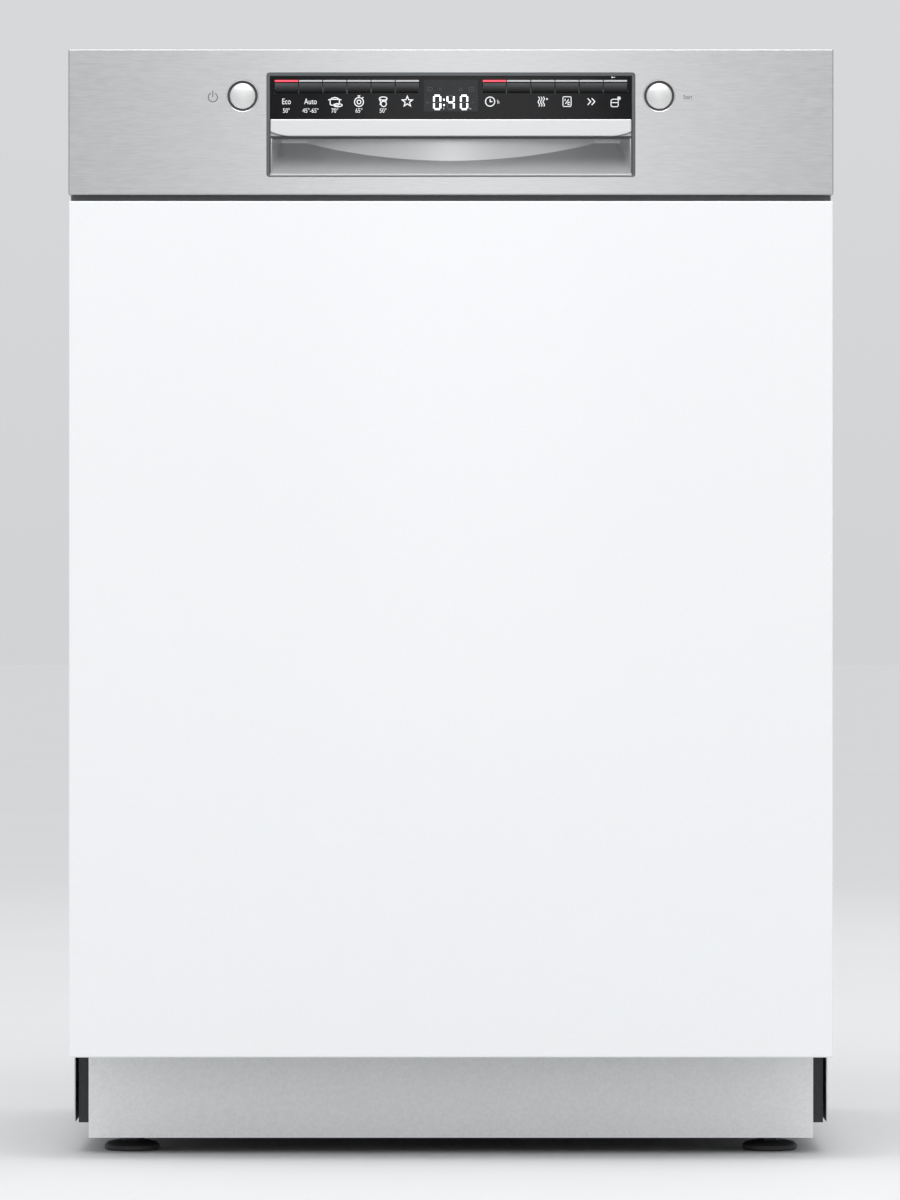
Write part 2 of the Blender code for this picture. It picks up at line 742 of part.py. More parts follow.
# ---- cabinet ------------------------------------------------------------------------------------
def side_panel(side_name, side):
    """Sheet-steel side with turned-in edges, cut back at the foot, and the horn that carries the door's pin."""
    outer_x = WIDTH / 2
    front, low, top = TUB_FRONT + 0.0010, TRAY_BOTTOM + 0.0010, HEIGHT - 0.0010
    step_y, step_z = -0.2000, FLANGE_BOTTOM
    x = mirrored((outer_x - 0.0085, outer_x), side)
    panel = block("side_panel_" + side_name, (x[0], front, low), (x[1], SIDE_BACK, top), ZINC)
    inside = mirrored((outer_x - 0.02, outer_x - SHEET), side)
    hollow = block(
        "side_hollow_" + side_name,
        (inside[0], front + SHEET, low - 0.01),
        (inside[1], SIDE_BACK - SHEET, top - SHEET),
    )
    notch = block(
        "side_notch_" + side_name, (x[0] - 0.01, front - 0.01, low - 0.02), (x[1] + 0.01, step_y, step_z)
    )
    cut(panel, hollow, notch)
    horn_x = mirrored((0.2915, outer_x - 0.0002), side)
    horn = block(
        "hinge_horn_" + side_name, (horn_x[0], HINGE_Y, HINGE_Z - 0.0035), (horn_x[1], step_y + 0.0050, HINGE_Z + 0.0080)
    )
    eye = rod("hinge_eye_" + side_name, (horn_x[0], HINGE_Y, HINGE_Z), (horn_x[1], HINGE_Y, HINGE_Z), 0.0080)
    pin = rod(
        "hinge_pin_" + side_name, (side * 0.2872, HINGE_Y, HINGE_Z), (side * 0.2950, HINGE_Y, HINGE_Z), 0.0040
    )
    join(panel, horn, eye, pin)
    bead_x = mirrored((outer_x - SHEET / 2, outer_x + 0.0100), side)
    for z in (0.2600, 0.4900, 0.7200):
        bead = block(
            f"side_bead_{side_name}_{z}", (bead_x[0], -0.1700, z - 0.0080), (bead_x[1], 0.2300, z + 0.0080)
        )
        cut(panel, bead)
    return panel


def rear_panel():
    """Flat back sheet with two drawn fields."""
    panel = block(
        "rear_panel", (-0.2975, SIDE_BACK - 0.0025, 0.1010), (0.2975, SIDE_BACK - 0.0013, 0.8680), ZINC
    )
    for low_z, high_z in ((0.1300, 0.4700), (0.5000, 0.8400)):
        field = block("rear_field", (-0.2600, SIDE_BACK - 0.0019, low_z), (0.2600, SIDE_BACK + 0.01, high_z))
        cut(panel, field)
    return panel


def front_crossbar():
    """Steel channel across the top front, with the screw tabs for the worktop and the door's striker tongue."""
    front, back = TUB_FRONT + 0.0030, -0.1850
    bottom = FLANGE_TOP + 0.0015
    bar = block("front_crossbar", (-0.2895, front, bottom), (0.2895, back, HEIGHT), ZINC)
    channel = block("crossbar_channel", (-0.2850, front + 0.0012, bottom - 0.01), (0.2850, back - 0.0012, HEIGHT - 0.0012))
    cut(bar, channel)
    tongue = block("striker_tongue", (-0.0060, -0.2510, 0.8690), (0.0060, front + 0.0010, 0.8702))
    hook = block("striker_hook", (-0.0060, -0.2510, 0.8580), (0.0060, -0.2494, 0.8700))
    root = block("striker_root", (-0.0060, front - 0.0002, 0.8690), (0.0060, front + 0.0010, HEIGHT - 0.0005))
    join(hook, tongue)
    join(bar, root, hook)
    for side in (-1, 1):
        x = side * 0.2300
        hole = rod("worktop_screw_hole", (x, -0.2050, 0.85), (x, -0.2050, 0.89), 0.0030)
        cut(bar, hole)
    return bar


def top_insulation():
    mat = block("top_insulation", (-0.2660, -0.1800, TUB_TOP + SHEET + CLEAR), (0.2660, 0.2700, 0.8670), FLEECE)
    return bevel(mat, 0.0050, 3)


def base_tray():
    """Moulded tray that carries the pumps and the feet, with the drain spigot and the mains inlet at its back."""
    tray = open_box(
        "base_tray", (-TRAY_HALF, TRAY_FRONT, TRAY_BOTTOM), (TRAY_HALF, TRAY_BACK, TRAY_TOP), TRAY_WALL, "+Z", BLACK_MATTE
    )
    for name, x, y in FEET:
        join(tray, rod("boss_" + name, (x, y, TRAY_BOTTOM + 0.0005), (x, y, TRAY_BOTTOM + 0.0120), 0.0120))
    drain = rod("drain_spigot", (0.1900, TRAY_BACK - 0.0015, 0.0620), (0.1900, BACK_Y, 0.0620), 0.0100)
    inlet = block("mains_inlet", (0.2220, TRAY_BACK - 0.0015, 0.0480), (0.2520, BACK_Y - 0.0010, 0.0780))
    join(tray, drain, inlet)
    for name, x, y in FEET:
        cut(tray, rod("hole_" + name, (x, y, 0.01), (x, y, 0.06), SPINDLE + 0.0006))
    valve_hole = rod("valve_hole", (VALVE_X, 0.26, VALVE_Z), (VALVE_X, 0.30, VALVE_Z), 0.0140)
    return cut(tray, valve_hole)


FEET = (
    ("foot_front_left", -FOOT_X, FOOT_FRONT_Y),
    ("foot_front_right", FOOT_X, FOOT_FRONT_Y),
    ("foot_rear", 0.0, FOOT_REAR_Y),
)
VALVE_X, VALVE_Z = -0.2100, 0.0620


def foot(name, x, y):
    """Levelling foot: a hexagonal pad on a threaded spindle."""
    pad = rod(name, (x, y, 0), (x, y, 0.0080), 0.0220, BLACK_MATTE, sides=24, end_radius=0.0190)
    spindle = rod(name + "_spindle", (x, y, 0.0060), (x, y, 0.0850), SPINDLE, sides=12)
    join(pad, spindle)
    pivot(name + "_axis", (x, y, 0), pad)
    return pad


def inlet_valve():
    """Solenoid valve with the three-quarter-inch inlet that comes out of the tray's back."""
    body = block("inlet_valve", (VALVE_X - 0.0220, 0.2450, 0.0400), (VALVE_X + 0.0220, 0.2740, 0.0900), WHITE_PLASTIC)
    spigot = rod("valve_spigot", (VALVE_X, 0.2730, VALVE_Z), (VALVE_X, BACK_Y, VALVE_Z), 0.0130)
    join(body, spigot)
    mouth = rod("valve_mouth", (VALVE_X, BACK_Y - 0.0080, VALVE_Z), (VALVE_X, BACK_Y + 0.01, VALVE_Z), 0.0090)
    return cut(body, mouth)


def toe_panel():
    """Recessed panel that closes the base under the door."""
    panel = block("toe_panel", (-0.2880, -0.1950, 0.0120), (0.2880, -0.1938, 0.1120), PALE_SHEET)
    lip = block("toe_lip", (-0.2880, -0.2040, 0.1108), (0.2880, -0.1945, 0.1120))
    return join(panel, lip)


def door_spring(side_name, side):
    """Coil spring in the base that balances the door."""
    x, z, radius, wire_radius = side * 0.2790, 0.0720, 0.0080, 0.0013
    start, turns, pitch, per_turn = -0.1400, 14, 0.0100, 8
    points = [(x, start - 0.0200, z), (x, start - 0.0060, z)]
    for i in range(turns * per_turn + 1):
        angle = 2 * math.pi * i / per_turn
        points.append(
            (x + radius * math.sin(angle), start + pitch * i / per_turn, z + radius * math.cos(angle))
        )
    end = start + pitch * turns
    points += [(x, end + 0.0060, z), (x, end + 0.0200, z)]
    return wire("door_spring_" + side_name, points, wire_radius, material=SPRING_STEEL)


# ---- door ---------------------------------------------------------------------------------------
def door_seal():
    """Rubber seal round the top and both sides of the tub's mouth."""
    front, back = LINER_Y + CLEAR, TUB_FRONT - CLEAR
    outer, inner = 0.2835, 0.2735
    top = 0.8620
    seal = block("door_seal", (-outer, front, 0.1330), (outer, back, top), RUBBER)
    gap = block("door_seal_gap", (-inner, front - 0.01, 0.12), (inner, back + 0.01, top - 0.0100))
    return cut(seal, gap)


def door_liner():
    """Drawn steel inner door: a flat frame round a field that is drawn towards the front.
    Its sides and its top turn forwards, and its foot stays open for the hinge arms."""
    margin, slope = 0.0400, 0.0070
    front = SKIN_Y + SHEET + CLEAR
    bm = bmesh.new()

    def ring(inset, y):
        half, low, high = LINER_HALF - inset, LINER_BOTTOM + inset, LINER_TOP - inset
        return [bm.verts.new((x, y, z)) for x, z in ((-half, low), (half, low), (half, high), (-half, high))]

    edge = ring(0, LINER_Y)
    shoulder = ring(margin, LINER_Y)
    field = ring(margin + slope, LINER_Y - FIELD_DRAW)
    returns = ring(0, front)
    bm.faces.new(field)
    for outer, inner in ((edge, shoulder), (shoulder, field)):
        for i in range(4):
            j = (i + 1) % 4
            bm.faces.new((outer[i], outer[j], inner[j], inner[i]))
    for i in (1, 2, 3):
        j = (i + 1) % 4
        bm.faces.new((edge[i], edge[j], returns[j], returns[i]))
    obj = place(object_from("door_liner", bm), STAINLESS)
    largest = max(obj.data.polygons, key=lambda f: f.area)
    wall = obj.modifiers.new("Solidify", "SOLIDIFY")
    wall.thickness = SHEET
    wall.offset = -1.0 if largest.normal.y > 0 else 1.0
    wall.use_even_offset = True
    notch = block("striker_notch", (-0.0080, -0.2545, 0.8535), (0.0080, LINER_Y + 0.01, LINER_TOP + 0.01))
    opening = block("dispenser_hole", (-0.0800, -0.26, 0.4600), (0.0800, -0.22, 0.5700))
    return cut(obj, notch, opening)


def door_outer_panel():
    """Flat outer sheet of the door, cut out for the grip cup."""
    panel = block(
        "door_outer_panel", (-LINER_HALF, SKIN_Y, 0.1000), (LINER_HALF, SKIN_Y + SHEET, LINER_TOP), ZINC
    )
    hole = block("cup_hole", (-0.1500, SKIN_Y - 0.01, 0.7660), (0.1500, SKIN_Y + 0.01, 0.8190))
    return cut(panel, hole)


def furniture_front():
    """Lacquered board hung on the door."""
    half = BOARD_WIDTH / 2
    board = block(
        "furniture_front", (-half, FRONT_Y, BOARD_BOTTOM), (half, FRONT_Y + FRONT_THICK, BOARD_TOP), WHITE_LACQUER
    )
    return bevel(board, 0.0010, 2)


def control_fascia():
    """Folded steel fascia with the window and the two holes for the round buttons."""
    half = WIDTH / 2
    fascia = open_box(
        "control_fascia",
        (-half, FRONT_Y, FASCIA_BOTTOM),
        (half, FRONT_Y + FRONT_THICK, FASCIA_TOP),
        SHEET,
        "+Y",
        BRUSHED,
    )
    window = block(
        "fascia_window", (-WINDOW_HALF, FRONT_Y - 0.01, WINDOW_BOTTOM), (WINDOW_HALF, FRONT_Y + 0.01, WINDOW_TOP)
    )
    cut(fascia, window)
    for side in (-1, 1):
        x = side * ROUND_X
        hole = rod("button_hole", (x, FRONT_Y - 0.01, ROUND_Z), (x, FRONT_Y + 0.01, ROUND_Z), ROUND_HOLE, sides=FINE)
        cut(fascia, hole)
    return fascia


def control_housing():
    """Moulded carrier behind the fascia: a plate with turned-back edges, a frame in the window and button wells."""
    half = WIDTH / 2 - SHEET - CLEAR
    front, back = FRONT_Y + SHEET + CLEAR, FRONT_Y + FRONT_THICK
    low, high = FASCIA_BOTTOM + SHEET + CLEAR, FASCIA_TOP - SHEET - CLEAR
    housing = open_box("control_housing", (-half, front, low), (half, back, high), 0.0025, "+Y", DARK_GREY)
    frame = block(
        "housing_frame",
        (-WINDOW_HALF + CLEAR, FRONT_Y + CLEAR, WINDOW_BOTTOM + CLEAR),
        (WINDOW_HALF - CLEAR, front + 0.0010, WINDOW_TOP - CLEAR),
    )
    join(housing, frame)
    opening = block(
        "housing_window",
        (-INSERT_HALF - CLEAR, FRONT_Y - 0.01, CUP_BOTTOM - 0.0005),
        (INSERT_HALF + CLEAR, back + 0.01, KEY_PANEL_TOP + CLEAR),
    )
    cut(housing, opening)
    for side in (-1, 1):
        x = side * ROUND_X
        well = rod("button_well", (x, FRONT_Y - 0.01, ROUND_Z), (x, back, ROUND_Z), ROUND_RADIUS + 0.0003, sides=FINE)
        cut(housing, well)
    return housing


def key_x(group, index):
    """Middle of a key. Group -1 is left of the display and 1 is right of it; index 0 is the leftmost."""
    inner = KEY_FIRST_X + KEY_PITCH / 2
    if group < 0:
        return -(inner + KEY_PITCH * (KEY_COUNT - 1 - index))
    return inner + KEY_PITCH * index


def key_panel():
    """Glossy strip over the display, with a slot for each row of keys."""
    panel = block(
        "key_panel",
        (-INSERT_HALF, FRONT_Y + 0.0010, KEY_PANEL_BOTTOM + CLEAR),
        (INSERT_HALF, FRONT_Y + 0.0060, KEY_PANEL_TOP),
        BLACK_GLOSS,
    )
    margin = 0.0004
    for group in (-1, 1):
        first, last = key_x(group, 0) - KEY_WIDTH / 2, key_x(group, KEY_COUNT - 1) + KEY_WIDTH / 2
        slot = block(
            "key_slot",
            (first - margin, FRONT_Y - 0.01, KEY_Z - KEY_HEIGHT / 2 - margin),
            (last + margin, FRONT_Y + 0.02, KEY_Z + KEY_HEIGHT / 2 + margin),
        )
        cut(panel, slot)
    return panel


def key(name, x):
    cap = block(
        name,
        (x - KEY_WIDTH / 2, FRONT_Y + 0.0002, KEY_Z - KEY_HEIGHT / 2),
        (x + KEY_WIDTH / 2, FRONT_Y + 0.0075, KEY_Z + KEY_HEIGHT / 2),
        BLACK_GLOSS,
    )
    bevel(cap, 0.0006, 1)
    pivot(name + "_travel", (x, FRONT_Y, KEY_Z), cap)
    return cap


def round_button(name, x):
    """Domed button in its well."""
    back, face = FRONT_Y + 0.0120, FRONT_Y - BUTTON_PROUD
    crown = [(ROUND_RADIUS * math.sin(math.radians(a)), 0.0016 * (1 - math.cos(math.radians(a)))) for a in (0, 25, 45, 62)]
    profile = [(radius, -face - drop) for radius, drop in crown]
    profile += [(ROUND_RADIUS, -face - 0.0016), (ROUND_RADIUS, -back), (0.0, -back)]
    cap = turned(name, (x, 0, ROUND_Z), profile, SILVER)
    cap.rotation_euler = (math.pi / 2, 0, 0)
    empty = pivot(name + "_travel", (x, FRONT_Y, ROUND_Z), cap)
    return empty


def handle_bar():
    """Bright bar over the grip, whose lower edge sweeps up at both ends."""
    sweep_length, sweep_height, steps = 0.0160, 0.0034, 5
    middle_z = (KEY_PANEL_BOTTOM + BAR_BOTTOM) / 2
    top, bottom = KEY_PANEL_BOTTOM - middle_z, BAR_BOTTOM - middle_z
    right = []
    for i in range(steps + 1):
        share = i / steps
        right.append((INSERT_HALF - sweep_length * (1 - share), bottom + sweep_height * share**2))
    outline = [(x, z) for x, z in right] + [(INSERT_HALF, top), (-INSERT_HALF, top)]
    outline += [(-x, z) for x, z in reversed(right)]
    front, back = FRONT_Y - 0.0008, FRONT_Y + 0.0066
    bar = flat_piece(
        "handle_bar", outline, back - front, (0, (front + back) / 2, middle_z), (math.pi / 2, 0, 0), SILVER
    )
    return bevel(bar, 0.0008, 2, math.radians(50))


def grip_cup():
    """Moulded cup under the bar: a ramp that rises inwards, and a bulging back wall that meets it in an arc."""
    half = INSERT_HALF
    depth = 0.0385
    front, back = FRONT_Y + 0.0010, FRONT_Y + depth
    top = KEY_PANEL_BOTTOM - 0.0008
    cup = block("grip_cup", (-half, front, CUP_BOTTOM), (half, back, top), GREY_SILVER)
    bar_room = block(
        "bar_room", (-half - 0.01, front - 0.01, CUP_TOP), (half + 0.01, FRONT_Y + 0.0072, top + 0.01)
    )
    slope = 0.75
    lip = 0.0010
    mouth_z = CUP_BOTTOM + lip
    deep = back - 0.0020
    reach = deep - FRONT_Y
    # The hollow's side view: u runs inwards from the fascia's face and v runs up.
    side_view = [
        (-0.0060, mouth_z),
        (0.0010, mouth_z),
        (reach, mouth_z + slope * (reach - 0.0010)),
        (reach, top - 0.0020),
        (0.0085, top - 0.0020),
        (0.0085, CUP_TOP + 0.0003),
        (-0.0060, CUP_TOP + 0.0003),
    ]
    hollow = tapered_prism("cup_hollow", side_view, half - 0.0014, half - 0.0075, reach)
    cut(cup, bar_room, hollow)
    sagitta, chord = 0.0215, 0.1170
    bulge_radius = (chord**2 + sagitta**2) / (2 * sagitta)
    nearest = FRONT_Y + 0.0163
    return join(cup, bulge("cup_bulge", bulge_radius, nearest, back - 0.0008, half - 0.0030, CUP_BOTTOM + 0.0040, top - 0.0006))


def tapered_prism(name, side_view, half_front, half_back, reach):
    """A prism across the machine whose ends draw in with depth, as a moulding's draft does."""
    bm = bmesh.new()
    rings = []
    for sign in (-1, 1):
        ring = []
        for u, v in side_view:
            share = min(1.0, max(0.0, u / reach))
            x = sign * (half_front + (half_back - half_front) * share)
            ring.append(bm.verts.new((x, FRONT_Y + u, v)))
        rings.append(ring)
    count = len(side_view)
    bm.faces.new(rings[0])
    bm.faces.new(list(reversed(rings[1])))
    for i in range(count):
        j = (i + 1) % count
        bm.faces.new((rings[0][i], rings[0][j], rings[1][j], rings[1][i]))
    bm.normal_update()
    bmesh.ops.triangulate(bm, faces=[f for f in bm.faces if len(f.verts) > 4])
    return place(object_from(name, bm), None)


def bulge(name, radius, nearest, back, half, low, high):
    """The slice of an upright cylinder that stands nearest the front, cut off at a flat back."""
    steps = 16
    outline = []
    limit = min(half, math.sqrt(radius**2 - (radius - (back - nearest)) ** 2))
    for i in range(steps + 1):
        x = -limit + 2 * limit * i / steps
        outline.append((x, nearest + radius - math.sqrt(radius**2 - x**2)))
    if outline[0][1] < back - 1e-5:
        outline = [(-limit, back)] + outline + [(limit, back)]
    return flat_piece(name, outline, high - low, (0, 0, (low + high) / 2), (0, 0, 0))


def door_latch():
    """Lock case in the top of the door, with the slot that the striker's hook enters."""
    latch = block("door_latch", (-0.0200, -0.2645, 0.8300), (0.0200, LINER_Y - SHEET - CLEAR, 0.8645), BLACK_MATTE)
    slot = block("latch_slot", (-0.0075, -0.2540, 0.8530), (0.0075, LINER_Y + 0.01, 0.88))
    return cut(latch, slot)


DISPENSER_FACE = LINER_Y - FIELD_DRAW + 0.0035


def dispenser_body():
    """Case of the detergent dispenser, through the liner's hole, with its open compartment."""
    field = LINER_Y - FIELD_DRAW
    case = block("dispenser_body", (-0.0790, -0.2640, 0.4610), (0.0790, field + 0.0010, 0.5690), WHITE_PLASTIC)
    face = block("dispenser_face", (-0.0850, field + CLEAR, 0.4550), (0.0850, DISPENSER_FACE, 0.5750))
    join(case, face)
    compartment = block("compartment", (-0.0640, -0.2605, 0.4740), (-0.0060, DISPENSER_FACE + 0.01, 0.5260))
    return cut(case, compartment)


def dispenser_lid():
    """Lid that slides sideways off the compartment."""
    face = DISPENSER_FACE + CLEAR
    lid = block("dispenser_lid", (-0.0680, face, 0.4700), (-0.0020, face + 0.0025, 0.5300), GREY_PLASTIC)
    rib = block("lid_rib", (-0.0120, face + 0.0020, 0.4800), (-0.0080, face + 0.0045, 0.5200))
    join(lid, rib)
    pivot("dispenser_lid_travel", (-0.0350, face, 0.5000), lid)
    return lid


RINSE_HINGE_Z = 0.5690
RINSE_HINGE_Y = DISPENSER_FACE + 0.0030


def rinse_aid_cap():
    """Flap over the rinse-aid filler, hinged along its top edge."""
    face = DISPENSER_FACE + CLEAR
    cap = block("rinse_aid_cap", (0.0150, face, 0.5360), (0.0700, face + 0.0025, RINSE_HINGE_Z - 0.0030), GREY_PLASTIC)
    barrel = rod(
        "rinse_barrel", (0.0200, RINSE_HINGE_Y, RINSE_HINGE_Z), (0.0650, RINSE_HINGE_Y, RINSE_HINGE_Z), 0.0022, sides=12
    )
    web = block("rinse_web", (0.0220, face + 0.0008, RINSE_HINGE_Z - 0.0050), (0.0630, face + 0.0020, RINSE_HINGE_Z))
    join(cap, web, barrel)
    pivot("rinse_aid_cap_axis", (0.0425, RINSE_HINGE_Y, RINSE_HINGE_Z), cap)
    return cap


def hinge_arm(side_name, side):
    """Steel arm on the door's side, with the eye that turns on the cabinet's pin."""
    x = mirrored((LINER_HALF + CLEAR, LINER_HALF + 0.0032), side)
    arm = block("hinge_arm_" + side_name, (x[0], -0.2620, HINGE_Z), (x[1], -0.2400, 0.3600), ZINC)
    eye = rod("arm_eye_" + side_name, (x[0], HINGE_Y, HINGE_Z), (x[1], HINGE_Y, HINGE_Z), 0.0085)
    join(arm, eye)
    cut(arm, rod("arm_bore_" + side_name, (x[0] - 0.01, HINGE_Y, HINGE_Z), (x[1] + 0.01, HINGE_Y, HINGE_Z), 0.0044))
    return arm


# ---- assembly -----------------------------------------------------------------------------------
def cabinet():
    tub()
    door_seal()
    sump()
    pumps()
    filters()
    salt_cap()
    spray_arm("lower_spray_arm", (0, ARM_Y), 0.2150, 0.1576, 0.0110, 0.0086)
    water_riser()
    ceiling_sprayer()
    base_tray()
    for name, x, y in FEET:
        foot(name, x, y)
    inlet_valve()
    toe_panel()
    rear_panel()
    front_crossbar()
    top_insulation()
    for side_name, side in SIDES:
        side_panel(side_name, side)
        door_spring(side_name, side)
        rail(side_name, side)


def racks():
    slides = [rail_slide(side_name, side) for side_name, side in SIDES]
    pivot("rail_slides_travel", (0, RAIL_FRONT, RAIL_Z), *slides)
    upper = upper_rack()
    arm = spray_arm("upper_spray_arm", (0, ARM_Y), 0.2050, 0.4610, 0.0110, 0.0086)
    pivot("upper_rack_travel", (0, RACK_FRONT, UPPER_FLOOR), upper, arm.parent)
    lower = lower_rack()
    pivot("lower_rack_travel", (0, RACK_FRONT, LOWER_FLOOR), lower, cutlery_basket())


def door():
    pieces = [
        door_liner(),
        door_outer_panel(),
        furniture_front(),
        control_fascia(),
        control_housing(),
        key_panel(),
        handle_bar(),
        grip_cup(),
        door_latch(),
        dispenser_body(),
        dispenser_lid().parent,
        rinse_aid_cap().parent,
        round_button("power_button", -ROUND_X),
        round_button("start_button", ROUND_X),
    ]
    for group, group_name in ((-1, "program_key"), (1, "option_key")):
        for index in range(KEY_COUNT):
            pieces.append(key(f"{group_name}_{index + 1}", key_x(group, index)).parent)
    for side_name, side in SIDES:
        pieces.append(hinge_arm(side_name, side))
    pivot("door_axis", (0, HINGE_Y, HINGE_Z), *pieces)


cabinet()
racks()
door()
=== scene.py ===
"""Looks of the built-in dishwasher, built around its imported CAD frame."""

import random
from math import cos, hypot, pi, radians, sin, sqrt

import bmesh
import bpy
from mathutils import Matrix, Vector


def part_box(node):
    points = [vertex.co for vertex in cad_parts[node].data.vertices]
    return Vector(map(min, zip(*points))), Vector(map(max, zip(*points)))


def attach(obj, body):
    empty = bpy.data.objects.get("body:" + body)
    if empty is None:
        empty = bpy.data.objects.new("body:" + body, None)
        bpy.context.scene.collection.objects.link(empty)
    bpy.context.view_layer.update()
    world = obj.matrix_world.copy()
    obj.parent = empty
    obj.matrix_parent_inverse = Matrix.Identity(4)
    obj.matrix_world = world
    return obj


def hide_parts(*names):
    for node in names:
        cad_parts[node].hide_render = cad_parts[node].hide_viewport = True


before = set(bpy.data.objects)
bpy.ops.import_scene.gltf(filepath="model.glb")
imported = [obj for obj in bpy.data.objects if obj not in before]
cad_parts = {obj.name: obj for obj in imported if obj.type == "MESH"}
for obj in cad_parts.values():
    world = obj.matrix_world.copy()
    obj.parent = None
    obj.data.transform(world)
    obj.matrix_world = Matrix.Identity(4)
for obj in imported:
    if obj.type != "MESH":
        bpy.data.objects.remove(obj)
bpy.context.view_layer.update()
BOX = {name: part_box(name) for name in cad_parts}
MID = {name: (low + high) / 2 for name, (low, high) in BOX.items()}
UPRIGHT = {name: (at.x, at.y, 0) for name, at in MID.items()}  # Foot of each node's upright axis.
random.seed(7)

# The face of the fascia and of the board, and the sizes that the pieces on it share.
FACE = BOX["control_fascia"][0].y
WINDOW_LOW = BOX["grip_cup"][0].z
WINDOW_HIGH = BOX["key_panel"][1].z
INSERT_HALF = BOX["key_panel"][1].x
PANEL_FACE = BOX["key_panel"][0].y
KEYS = [f"program_key_{i}" for i in range(1, 7)] + [f"option_key_{i}" for i in range(1, 7)]
BUTTONS = {"power_button": "power", "start_button": "start"}
SHEET = 0.0008  # Thickness of the fascia, the tub, the door's inner sheet and the side sheets.
M = {}  # Materials by their keys.


# ---- camera, light and floor --------------------------------------------------------------------
def place(name, data):
    obj = bpy.data.objects.new(name, data)
    bpy.context.scene.collection.objects.link(obj)
    return obj


def softbox(name, size, at, aim, power):
    light = bpy.data.lights.new(name, "AREA")
    light.shape = "RECTANGLE"
    light.size, light.size_y = size
    light.energy = power
    obj = place(name, light)
    obj.location = at
    obj.rotation_euler = (Vector(aim) - Vector(at)).to_track_quat("-Z", "Y").to_euler()


def make_view():
    scene = bpy.context.scene
    scene.view_settings.view_transform = "Standard"
    lens, long_side, view_height = 200.0, 36.0, 0.9376
    camera = bpy.data.cameras.new("camera")
    camera.lens, camera.sensor_width = lens, long_side
    eye = place("camera", camera)
    eye.location = (-0.0007, FACE - view_height * lens / long_side, 0.4395)
    eye.rotation_euler = (pi / 2, 0, 0)
    scene.camera = eye

    world = bpy.data.worlds.new("studio")
    world.use_nodes = True
    tree = world.node_tree
    where, split = node(tree, "TexCoord"), node(tree, "SeparateXYZ")
    sky = ramp(tree, (0.0, (0.64, 0.65, 0.66)), (0.75, (0.98, 0.99, 1.0)))
    back = tree.nodes["Background"]
    chain(tree, where, "Generated", "Vector", split, "Z", "Fac", sky, "Color", "Color", back)
    scene.world = world

    softbox("overhead", (2.4, 1.6), (0.0, -1.6, 3.0), (0, -0.2, 0.6), 44)
    softbox("front", (0.46, 2.6), (0.03, -8.0, 1.5), (0, 0, 0.6), 13)
    softbox("back", (2.4, 1.6), (1.2, 3.2, 2.6), (0, 0, 0.5), 14)

    bpy.ops.mesh.primitive_circle_add(vertices=96, radius=40, fill_type="NGON")
    floor = bpy.context.object
    floor.name = "studio_floor"
    floor.data.materials.append(M["floor"])


# ---- materials ----------------------------------------------------------------------------------
def fill(target, values):
    """Sets a node's inputs. A name may have _ for a blank."""
    for name, value in values.items():
        target.inputs[name.replace("_", " ")].default_value = value


def node(tree, kind, **values):
    made = tree.nodes.new("ShaderNode" + kind)
    fill(made, values)
    return made


def ramp(tree, *stops):
    """A colour ramp through stops of (position, colour), in order."""
    made = tree.nodes.new("ShaderNodeValToRGB")
    elements = made.color_ramp.elements
    while len(elements) < len(stops):
        elements.new(0.5)
    for element, (position, colour) in zip(elements, stops):
        element.position, element.color = position, (*colour, 1)
    return made


def chain(tree, *row):
    """Links a row of node, output, input, node, output, input, node and so on."""
    for i in range(0, len(row) - 3, 3):
        source, output, entry, target = row[i : i + 4]
        tree.links.new(source.outputs[output], target.inputs[entry])


def finish(
    key, name, colour, roughness, metallic=0.0, second=None, size=90, detail=3.0, depth=0.0, spread=0.05,
    edges=(0.35, 0.65), glow=0.0, **sockets,
):
    """A surface whose colour, roughness and relief follow one noise of size cycles per metre, as M[key]."""
    material = M[key] = bpy.data.materials.new(name)
    material.use_nodes = True
    tree = material.node_tree
    shader = tree.nodes["Principled BSDF"]
    fill(shader, {"Metallic": metallic, "IOR": 1.5, "Coat Roughness": 0.08, **sockets})
    if glow:
        fill(shader, {"Emission Color": (*colour, 1), "Emission Strength": glow})
    where = node(tree, "TexCoord")
    scale = node(tree, "Mapping", Scale=size if isinstance(size, tuple) else (size,) * 3)
    noise = node(tree, "TexNoise", Scale=1.0, Detail=detail)
    other = second or tuple(c * 0.93 for c in colour)
    tint = ramp(tree, (edges[0], other), (edges[1], colour))
    rough = node(tree, "MapRange", To_Min=max(0.02, roughness - spread), To_Max=roughness + spread)
    chain(tree, where, "Object", "Vector", scale, "Vector", "Vector", noise, "Fac", "Fac", tint)
    chain(tree, tint, "Color", "Base Color", shader)
    chain(tree, noise, "Fac", "Value", rough, "Result", "Roughness", shader)
    if depth:
        bump = node(tree, "Bump", Distance=depth, Strength=1.0)
        chain(tree, noise, "Fac", "Height", bump, "Normal", "Normal", shader)
    return tree, shader, where


